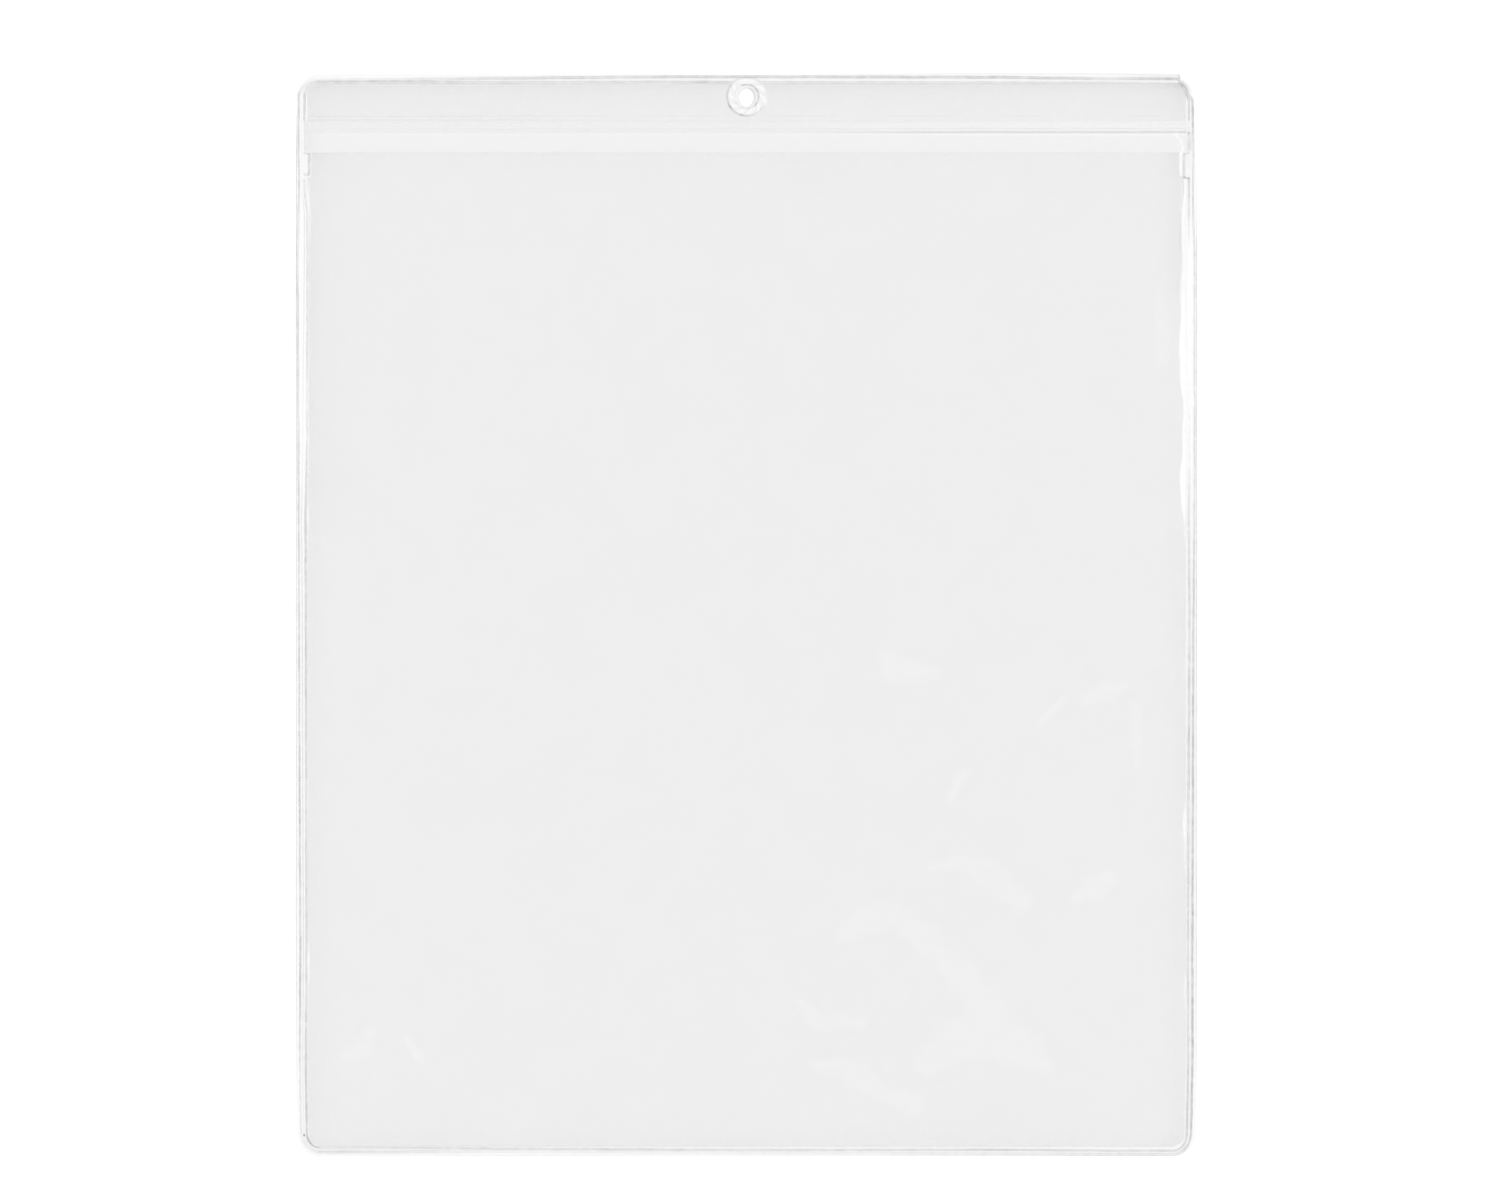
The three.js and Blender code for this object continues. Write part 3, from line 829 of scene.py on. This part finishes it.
# The lines below the header's tail, a dark one of painted shadow from its edge and a pale one of painted
# highlight: their strength on the left, and how much more it is on the right
DARK_LINE = (0.015, 0.085)
PALE_LINE = (0.01, 0.02)
SINGLE_LEFT_DIM = 0.022
UNDER_PATCH = 0.005
UNDER_WELD = (0.008, 0.012)  # how much darker on the left and paler on the right


def back_film_dim(x, rows, side):
    """How much the back film keeps back: more beside the seams, and most on the left where the film is
    single; less along the streak of painted highlight and on the pale patches; a dark rounded line of
    painted shadow and a pale rounded line of painted highlight below the header's tail, stronger on the
    right; a slight change under its weld."""
    dim = BACK_DIM * (1 + 0.1 * fade(side, 3))
    single = span(rows, MOUTH_Y, TAIL_END_Y, MM)
    dim += single * (x < 0) * SINGLE_LEFT_DIM * fade(side, 2.5)
    from_streak = x - np.interp(rows, photo_y(STREAK_ROWS), photo_x(STREAK_COLUMNS))
    dim -= span(rows, TAB_END_Y, TAIL_END_Y, MM) * STREAK_HIGHLIGHT * bump(about(from_streak, 0, 0.8))
    strong_right = ease(about(x - photo_x(STRONG_COLUMN), 0, 60))
    below_tail = TAIL_END_Y - rows
    dim += (DARK_LINE[0] + DARK_LINE[1] * strong_right) * bump(about(below_tail, 0.15, 0.35))
    dim -= (PALE_LINE[0] + PALE_LINE[1] * strong_right) * bump(about(below_tail, 0.75, 0.35))
    dim -= UNDER_PATCH * pale_patches(x, rows)
    from_left = x - film_sides(rows)[0]
    under_weld = span(rows, STRIP_END_Y - CROSS_WELD_WIDTH, STRIP_END_Y, 0.6 * MM)
    return dim + under_weld * (UNDER_WELD[0] * fade(from_left, 12) - UNDER_WELD[1] * strong_right)


def back_film():
    """The full sheet, cut round the ring: flat on what it lies on, with a faint unevenness that is
    the product of a wave across and a wave up, and that dies out towards the seams."""
    corner = FACE_Y - (CORNER_RADIUS - END_SEAM) * np.sin(np.linspace(0, np.pi / 2, CORNER_ROWS))[::-1]
    ring_foot = HOLE_Y - RING_RADIUS
    main_count = round((ring_foot + corner[0]) / BACK_ROW_STEP)
    main = np.linspace(-corner[0], ring_foot, main_count)
    y = np.unique(np.concatenate([-corner[::-1], main, TAIL_ROWS, WELD_ROWS, ring_rows()]))
    rows = y[np.concatenate([[True], np.diff(y) > LEAST_ROW_STEP])][:, None]
    x, quads = split_film(rows, BACK_COLUMNS)
    side, end = near_seam(x, rows)
    slanted = x / BACK_WAVE_ACROSS + 0.2 * rows / BACK_WAVE_ACROSS
    wave = ripple(slanted, cycles=3, seed=41) * ripple(rows / BACK_WAVE_UP, cycles=4, seed=43)
    underside = BACK_LIFT * (1 + wave) * ease(side / BACK_EASE) * ease(end / BACK_EASE)
    return film_shell(x, rows, underside, back_film_dim(x, rows, side), quads)


# The header film

HEADER_COLUMNS = 66
HEADER_ROWS = 16
HEADER_BULGE = 0.35 * MM
HEADER_WAVE = 0.26
CREASED_COLUMN = 480         # to the left of it the strip is creased along its weld


def header_film_dim(x, rows, side, end):
    """How much the header strip keeps back: more along its seams and most in the top right corner, as
    painted shade, and faint rounded lines of painted shade just above its weld: along two creases on the
    left and a patchy one."""
    dim = HEADER_DIM + 0.045 * fade(end, 3.2) + 0.02 * fade(side, 8)
    dim += (x > 0) * 0.05 * np.exp(-side / (2.5 * MM) - end / (4 * MM))
    above_weld = rows - STRIP_END_Y
    creased = 1 - ease(about(x - photo_x(CREASED_COLUMN), 0, 40))
    creases = bump(about(above_weld, 1.25, 0.35)) + bump(about(above_weld, 0.25, 0.3))
    dim += 0.02 * creased * creases
    patchy = np.clip(0.5 + 0.5 * ripple(x / HEADER_WAVE, cycles=7, seed=89), 0, 1)
    return dim + 0.008 * patchy * bump(about(above_weld, 1.4, 0.4))


def header_film():
    """The header strip: it lies on the back film and pillows a little between its two welds, along
    half a sine wave that is uneven from side to side and dies out towards the sides and the ring."""
    main = np.linspace(STRIP_END_Y, HOLE_Y - RING_RADIUS, HEADER_ROWS)
    rows = np.concatenate([main[:-1], ring_rows()])[:, None]
    x, quads = split_film(rows, HEADER_COLUMNS)
    side, end = near_seam(x, rows)
    up = (rows - STRIP_END_Y) / (FACE_Y - STRIP_END_Y)
    off_ring = np.hypot(x, rows - HOLE_Y) - RING_RADIUS
    pillow = np.sin(np.pi * up) * ease(about(side, 0, 8)) * ease(about(off_ring, 0, 7))
    uneven = 1 + 0.5 * ripple(x / HEADER_WAVE, cycles=5, seed=47)
    underside = FILM + FILM_GAP + HEADER_BULGE * pillow * uneven
    return film_shell(x, rows, underside, header_film_dim(x, rows, side, end), quads)


# The front film

POCKET_COLUMNS = 165
POCKET_ROWS = 235
EVEN_ROWS = 0.75
SIDE_COLUMNS = 14
SIDE_STEP = 0.18 * MM
TAB_ROW_COUNT = 6
MOUTH_DROOP = 0.33 * MM
POCKET_SHOULDER = 0.5 * MM   # how far the front film's sides stay below its highest point
POCKET_CROWN = 0.3 * MM
RISE_LENGTH = 28 * MM
RISE_POWER = 2.2
# how far the front film sinks on the pale patches
PATCH_SINK = 0.12 * MM
LONG_WAVE = 0.22 * MM        # heights and widths of the shallow waves
LONG_WAVE_WIDTHS = (0.4, 0.36)
SHORT_WAVE = 0.12 * MM
SHORT_WAVE_WIDTH = 0.3


def gape_share(distance, power):
    """Share of the pocket's gape at a distance from a seam: one less a power of the share of the
    way that is left, so that it is steep beside the seam and level once free."""
    return 1 - (1 - np.clip(distance / RISE_LENGTH, 0, 1)) ** power


def tab_reach(y):
    """How far a mouth weld reaches in from the seam: a rounded lower corner, then its full width."""
    up = np.clip(y - TAB_END_Y, 0, TAB_WIDTH)
    return np.where(y > TAB_END_Y, np.sqrt(np.maximum(TAB_WIDTH ** 2 - (TAB_WIDTH - up) ** 2, 0)), 0)


# Rows of the photograph, and how wide the highlight along the right seam is at each, in pixels
HIGHLIGHT_ROWS = np.array(
    [530, 518, 494, 476, 458, 434, 410, 386, 350, 314, 296, 278, 256, 225, 206, 194, 186, 177, 165])
HIGHLIGHT_WIDTHS = np.array(
    [0, 1.5, 5.1, 9, 5.5, 5.4, 1.1, 5.4, 7.6, 7.4, 8.6, 5.5, 0.4, 0.8, 2.4, 1.6, 4, 2, 3.5])
POWER_PER_WIDTH = 1 / (9 * MM)           # the wider the highlight, the steeper the film's rise
# Rows and places of the thin dark line of painted shade at the highlight's far side, from the seam or
# mouth weld
RIM_ROWS = np.array([266, 254, 242, 216, 196, 183, 178, 160])
RIM_PLACES = np.array([1.2, 1.1, 1.55, 1.55, 0.62, 0.58, 0.65, 0.65]) * MM
RIM_DARK = np.array([0, 0.03, 0.045, 0.04, 0.1, 0.12, 0.05, 0.05])
# Rows between which a pale line of painted highlight runs right beside the seam
PALE_ROWS = (212, 180)
PALE_DIM_LOSS = 0.036
# Rows where the sides' shades change: from low to high, and on the right from high to highest
HIGH_ROW = 535
HIGHEST_ROW = 300


def front_film_dim(from_left, from_right, from_foot, from_mouth, rows):
    """How much the front film keeps back: more along the seams and the mouth, as painted shade where it
    bends. Each shade falls off with the exponential of the distance, or of its square along most of the
    sides."""
    high = ease(about(rows - photo_y(HIGH_ROW), 0, 8) + 0.5)
    highest = ease(about(rows - photo_y(HIGHEST_ROW), 0, 8) + 0.5)
    left_low = 0.019 * fade(from_left, 5, power=2)
    left_high = 0.033 * fade(from_left, 5.6)
    right_low = 0.0185 * fade(from_right, 4.5, power=2)
    right_high = 0.009 * fade(from_right, 4, power=2)
    right_highest = 0.036 * fade(from_right, 4.3, power=2)
    dim = POCKET_DIM + left_low + (left_high - left_low) * high
    dim += right_low + (right_high - right_low) * high + (right_highest - right_high) * highest
    dim += 0.019 * fade(from_foot, 3.6)
    leftward = from_right / (from_left + from_right)
    dim += 0.012 * (0.7 + 0.6 * leftward) * fade(from_mouth, 3.4)
    return dim + (0.0028 * fade(from_mouth, 12) + 0.01 * bump(about(from_mouth, 0, 0.6)))


def front_film():
    """The pocket's sheet: held down along both sides and the foot, bowed up between them, and free
    along its upper edge. Shallow waves run through it where papers have stretched it, and it sinks
    a little and keeps back less on the pale patches. A highlight's width sets how steeply the right side
    rises."""
    share = np.linspace(0, 1, POCKET_ROWS)
    mouth = MOUTH_Y - MOUTH_DROOP
    eased = EVEN_ROWS * share + (1 - EVEN_ROWS) * (1 - np.cos(np.pi * share)) / 2
    tab_rows = TAB_END_Y + TAB_WIDTH * np.linspace(0, 1, TAB_ROW_COUNT)
    rows = np.unique(np.concatenate([-FACE_Y + (mouth + FACE_Y) * eased, tab_rows]))[:, None]
    left, right = film_sides(rows)
    left = left + tab_reach(rows)
    right = right - tab_reach(rows)
    across = np.linspace(-1, 1, POCKET_COLUMNS)
    beside = 1 - np.arange(1, SIDE_COLUMNS) * SIDE_STEP / FACE_X
    across = np.unique(np.concatenate([across, beside, -beside]))
    x = (left + right) / 2 + (right - left) / 2 * across
    from_left, from_right, from_foot = x - left, right - x, rows + FACE_Y
    highlight = np.interp(rows, photo_y(HIGHLIGHT_ROWS), HIGHLIGHT_WIDTHS * PX)
    right_power = RISE_POWER + highlight * POWER_PER_WIDTH
    sides = gape_share(from_left, RISE_POWER) * gape_share(from_right, right_power)
    lift = sides * gape_share(from_foot, RISE_POWER)
    slanted = ripple((x + 0.35 * rows) / LONG_WAVE_WIDTHS[0], cycles=4, seed=59)
    waves = LONG_WAVE * slanted * ripple(rows / LONG_WAVE_WIDTHS[1], cycles=3, seed=61)
    waves = waves + SHORT_WAVE * ripple((rows - 0.5 * x) / SHORT_WAVE_WIDTH, cycles=6, seed=67)
    rise = POCKET_RISE - POCKET_SHOULDER + POCKET_CROWN * (1 - across ** 2)
    smooth = pale_patches(x, rows)
    underside = FILM + FILM_GAP + (rise + waves - PATCH_SINK * smooth) * lift
    dim = front_film_dim(from_left, from_right, from_foot, mouth - rows, rows) - POCKET_DIM * smooth
    rim_place = np.interp(rows, photo_y(RIM_ROWS), RIM_PLACES)
    dim += np.interp(rows, photo_y(RIM_ROWS), RIM_DARK) * bump(about(from_right - rim_place, 0, 0.32))
    pale = span(rows, *map(photo_y, PALE_ROWS), 2 * MM)
    dim -= PALE_DIM_LOSS * bump(about(from_right, 0, 0.6)) * pale
    return film_shell(x, rows, underside, dim, grid_quads(*x.shape))


# The small welds and the ring

CROSS_COLUMNS = 260
CROSS_SAMPLES = 44
CROSS_BEAD_RISE = 0.26 * MM
CROSS_WAVER = 0.08 * MM
TAIL_EDGE = (0.03, 0.14)     # the tail's dark edge of painted shade, on the left and how much more on the right


def header_weld():
    """The weld across the header strip's foot: two low rounded beads with a pressed valley between
    them, and below them the strip's trimmed tail, which wavers and lifts a little off the back
    film. Dark lines of painted shade run along its beads and its tail's edge. Its line below the lower
    bead and its edge change from the left to the right."""
    depth = STRIP_END_Y - TAIL_END_Y
    down = depth * np.linspace(0, 1, CROSS_SAMPLES)
    left, right = film_sides(STRIP_END_Y - down)
    across = np.linspace(0, 1, CROSS_COLUMNS)[:, None]
    x = left + (right - left) * across
    waver = CROSS_WAVER * ripple(across, cycles=9, seed=71)
    y = STRIP_END_Y - down + waver * ease(down / depth * 1.5)
    beads = bump(about(down, 0.3, 0.6)) + bump(about(down, 1.7, 0.6))
    tail = ease((down - CROSS_WELD_WIDTH) / (depth - CROSS_WELD_WIDTH))
    height = PRESSED + CROSS_BEAD_RISE * beads + (2 * FILM + TAIL_LIFT - PRESSED) * tail
    strong_right = ease(about(x - photo_x(STRONG_COLUMN), 0, 75))
    dim = WELD_DIM + 0.012 * bead_line(about(down, 0.2, 0.55))
    dim = dim + 0.03 * bead_line(about(down, 2.42, 0.4)) * (1 - strong_right)
    dim = dim + 0.04 * strong_right * bump(about(down, 2.1, 0.28))
    dim = dim + (TAIL_EDGE[0] + TAIL_EDGE[1] * strong_right) * bump(about(down - depth, 0, 0.25))
    dim = dim * (1 + 0.3 * ripple(across, cycles=12, seed=73))
    quads = grid_quads(CROSS_COLUMNS, CROSS_SAMPLES)[:, ::-1]
    return weld_shell(surface(x, y, height), surface(x, y, FILM + TAIL_LIFT * tail), dim, quads)


RING_TURNS = 200
WALL_SAMPLES = 8
RING_SAMPLES = 44
LEAST_SINE = 1e-6
INNER_BEAD_RISE = 0.3 * MM
OUTER_BEAD_RISE = 0.34 * MM
PUNCH_RADII = (1.9 * MM, 2.5 * MM)       # the back film's smaller hole, across and up
PUNCH_OFF = (-0.05 * MM, -0.4 * MM)
WALL_POWER = 0.7
WALL_DIM = 0.06
RING_DIM = 0.055
RING_FOOT = 0.01 * MM        # thickness of the ring at its wall's lower edge


def ring_wall(angle, edge_x, edge_y, right):
    """The ring's wall: straight lines from the back film's smaller hole, which is a little to one
    side, out to the upper hole's edge, while the height grows as a power of the share of the way."""
    climb = np.linspace(0, 1, WALL_SAMPLES, endpoint=False)
    punch_x = PUNCH_OFF[0] + PUNCH_RADII[0] * np.cos(angle)
    punch_y = HOLE_Y + PUNCH_OFF[1] + PUNCH_RADII[1] * np.sin(angle)
    x = punch_x + (edge_x - punch_x) * climb
    y = punch_y + (edge_y - punch_y) * climb
    # Painted shade on the wall, darkest halfway up it and more so on the right
    dim = WALL_DIM + (0.06 + 0.12 * right) * np.sin(np.pi * climb)
    return surface(x, y, PRESSED * climb ** WALL_POWER), dim


def ring_beads_dim(angle, radius, right, inner_bead, outer_bead):
    """Dark lines of painted shade on the ring's two beads: the inner one is darkest at the right and
    above the hole, the outer one at the lower left, and both are streaky round the ring."""
    turn = angle / (2 * np.pi)
    streaks = ripple(turn, cycles=7, seed=79)
    above = bump((angle - math.radians(95)) / 0.5)
    lower_left = (0.5 - 0.5 * np.cos(angle - math.radians(25))) ** 1.5
    inner_dark = 0.1 + 0.26 * right + 0.2 * above + 0.05 * streaks
    outer_dark = 0.05 + 0.38 * lower_left + 0.07 * streaks
    dim = RING_DIM + np.maximum(inner_dark, 0) * bead_line(inner_bead)
    dim = dim + np.maximum(outer_dark, 0) * bead_line(outer_bead)
    return dim + 0.05 * ripple(turn + 40 * radius, cycles=9, seed=83)


def hang_hole_ring():
    """The fused ring: a slanted wall up from the back film's hole, a bead round the hole, a pressed
    valley and an outer bead, turned round the hole and ended on the top seam's face where they
    meet it."""
    angle = np.linspace(0, 2 * np.pi, RING_TURNS, endpoint=False)[:, None]
    to_face = (FACE_Y - HOLE_Y) / np.maximum(np.sin(angle), LEAST_SINE)
    outside = np.minimum(to_face, RING_RADIUS)
    radius = HOLE_RADIUS + (outside - HOLE_RADIUS) * np.linspace(0, 1, RING_SAMPLES)
    from_edge = radius - HOLE_RADIUS
    inner_bead = about(from_edge, 0.5, 0.38)
    outer_bead = about(from_edge - RING_OUTER_BEAD, 0, 0.36)
    height = PRESSED + INNER_BEAD_RISE * bump(inner_bead) + OUTER_BEAD_RISE * bump(outer_bead)
    height = height + (2 * FILM - PRESSED) * ease(about(from_edge, 2.4, 0.45))
    x = radius * np.cos(angle)
    y = HOLE_Y + radius * np.sin(angle)
    right = (0.5 + 0.5 * np.cos(angle - math.radians(15))) ** 2
    wall, wall_dim = ring_wall(angle, x[:, :1], y[:, :1], right)
    beads_dim = ring_beads_dim(angle, radius, right, inner_bead, outer_bead)
    upper = np.concatenate([wall, surface(x, y, height)], axis=1)
    dim = np.maximum(np.hstack([wall_dim, beads_dim]), WELD_DIM)
    quads = grid_quads(RING_TURNS, WALL_SAMPLES + RING_SAMPLES, ring=True)[:, ::-1]
    return weld_shell(upper + [0, 0, RING_FOOT], upper * [1, 1, 0], dim, quads)


TAB_ROWS = 70
TAB_COLUMNS = 16
TAB_START = 0.03 * MM
TAB_BEAD_RISE = 0.3 * MM
FOOT_SHIFT = {1: 0.5 * MM, -1: -0.3 * MM}        # how far down the bead's rounded foot is drawn


def mouth_weld(side):
    """A small weld at one end of the mouth: it widens the side seam, and a bead runs round its free
    edge at a set distance from it, with a dark line of painted shade along the bead, darker towards its
    foot. The foot of the bead lies a little lower than that on the right, and higher on the left. The
    side is -1 for left and 1 for right."""
    up = np.linspace(TAB_START, MOUTH_Y - TAB_END_Y, TAB_ROWS)[:, None]
    rows = TAB_END_Y + up
    left, right = film_sides(rows)
    inward = tab_reach(rows) * np.linspace(0, 1, TAB_COLUMNS)
    x = (right if side > 0 else left) - side * inward
    rounded = TAB_WIDTH - np.hypot(inward, np.maximum(TAB_WIDTH - up - FOOT_SHIFT[side], 0))
    bead = about(np.minimum(rounded, MOUTH_Y - rows), 0.68, 0.32)
    dim = WELD_DIM + (0.26 + 0.2 * bump(about(up, 0, 1.4))) * bead_line(bead)
    upper = surface(x, rows, PRESSED + TAB_BEAD_RISE * bump(bead))
    quads = grid_quads(TAB_ROWS, TAB_COLUMNS)
    return weld_shell(upper, surface(x, rows, FILM), dim, quads[:, ::-1] if side > 0 else quads)


make_piece("back_film_sheet", "back_film", *back_film(), film_vinyl, "clear_film")
make_piece("header_film_strip", "header_film", *header_film(), film_vinyl, "clear_film")
make_piece("front_film_pocket", "front_film", *front_film(), film_vinyl, "clear_film")
make_piece("perimeter_weld_seam", "perimeter_weld", *perimeter_weld(), weld_vinyl, "welded_vinyl")
make_piece("header_weld_line", "header_weld", *header_weld(), weld_vinyl, "welded_vinyl")
make_piece("hang_hole_ring_bead", "hang_hole_ring", *hang_hole_ring(), weld_vinyl, "welded_vinyl")
make_piece("left_mouth_weld_tab", "left_mouth_weld", *mouth_weld(-1), weld_vinyl, "welded_vinyl")
make_piece("right_mouth_weld_tab", "right_mouth_weld", *mouth_weld(1), weld_vinyl, "welded_vinyl")


# Floor, light and camera

FLOOR_DROP = 0.2 * MM
FLOOR_SIZE = 3.4
FLOOR_GREY = 0.8
FLOOR_TOP_UP = 0.24
WORLD_LIGHT = 0.66
SOFTBOX_RADIANCE = 3.2
SOFTBOX_SIZE = (1.1, 1.5)
SOFTBOX_DISTANCE = 2.0
SOFTBOX_TILT = math.radians(65)
CAMERA_HEIGHT = 3.0
SENSOR = 36.0
VIEW_LENGTH = 20
CLEAR_FACES = 32             # clear faces that one ray may cross


def seen_rays(tree):
    """1 for the rays that look at something: from the camera, in a reflection or through glass."""
    rays = tree.nodes.new("ShaderNodeLightPath").outputs
    either = math_node(tree, "MAXIMUM", rays["Is Camera Ray"], rays["Is Glossy Ray"])
    return math_node(tree, "MAXIMUM", either, rays["Is Transmission Ray"])


def floor_paint():
    """Matt pale floor, topped up to white for the rays that look at it, so that it keeps shadows."""
    material = bpy.data.materials.new("pale_floor")
    tree = empty_tree(material)
    matt = tree.nodes.new("ShaderNodeBsdfDiffuse")
    matt.inputs["Color"].default_value = (FLOOR_GREY, FLOOR_GREY, FLOOR_GREY, 1)
    glow = tree.nodes.new("ShaderNodeEmission")
    strength = math_node(tree, "MULTIPLY", seen_rays(tree), FLOOR_TOP_UP)
    tree.links.new(strength, glow.inputs["Strength"])
    both = tree.nodes.new("ShaderNodeAddShader")
    tree.links.new(matt.outputs[0], both.inputs[0])
    tree.links.new(glow.outputs[0], both.inputs[1])
    output = tree.nodes.new("ShaderNodeOutputMaterial")
    tree.links.new(both.outputs[0], output.inputs["Surface"])
    return material


def add_floor():
    """A flat square just under the sleeve."""
    half = FLOOR_SIZE / 2
    square = ((-half, -half), (half, -half), (half, half), (-half, half))
    corners = [(x, y, -FLOOR_DROP) for x, y in square]
    mesh = bpy.data.meshes.new("floor")
    mesh.from_pydata(corners, [], [(0, 1, 2, 3)])
    mesh.materials.append(floor_paint())
    floor = add_object("floor", mesh)


def add_world():
    """Even white surroundings: full white to look at, softer as light."""
    world = bpy.data.worlds.new("studio")
    bpy.context.scene.world = world
    world.use_nodes = True
    tree = world.node_tree
    background = next(node for node in tree.nodes if node.type == "BACKGROUND")
    background.inputs["Color"].default_value = (1, 1, 1, 1)
    strength = map_range(tree, seen_rays(tree), {"To Min": WORLD_LIGHT, "To Max": 1.0})
    tree.links.new(strength, background.inputs["Strength"])


def add_softbox(name, side):
    """A low softbox at one side, turned to face the sleeve."""
    light = bpy.data.lights.new(name, "AREA")
    light.shape = "RECTANGLE"
    light.size, light.size_y = SOFTBOX_SIZE
    light.energy = SOFTBOX_RADIANCE * math.pi * SOFTBOX_SIZE[0] * SOFTBOX_SIZE[1]
    softbox = add_object(name, light)
    out = math.sin(SOFTBOX_TILT) * SOFTBOX_DISTANCE
    softbox.location = (side * out, 0, math.cos(SOFTBOX_TILT) * SOFTBOX_DISTANCE)
    softbox.rotation_euler = (0, side * SOFTBOX_TILT, 0)
    softbox.visible_camera = False


def add_camera():
    """Straight above, level with the photograph's frame."""
    camera = bpy.data.cameras.new("camera")
    camera.sensor_width = SENSOR
    camera.lens = SENSOR * CAMERA_HEIGHT / (PHOTO_WIDTH * PX)
    camera.clip_end = VIEW_LENGTH
    holder = add_object("camera", camera)
    holder.location = (PHOTO_CENTRE[0], PHOTO_CENTRE[1], CAMERA_HEIGHT)
    bpy.context.scene.camera = holder


add_floor()
add_world()
add_softbox("softbox_right", 1)
add_softbox("softbox_left", -1)
add_camera()
bpy.context.scene.view_settings.view_transform = "Standard"
bpy.context.scene.cycles.transparent_max_bounces = CLEAR_FACES
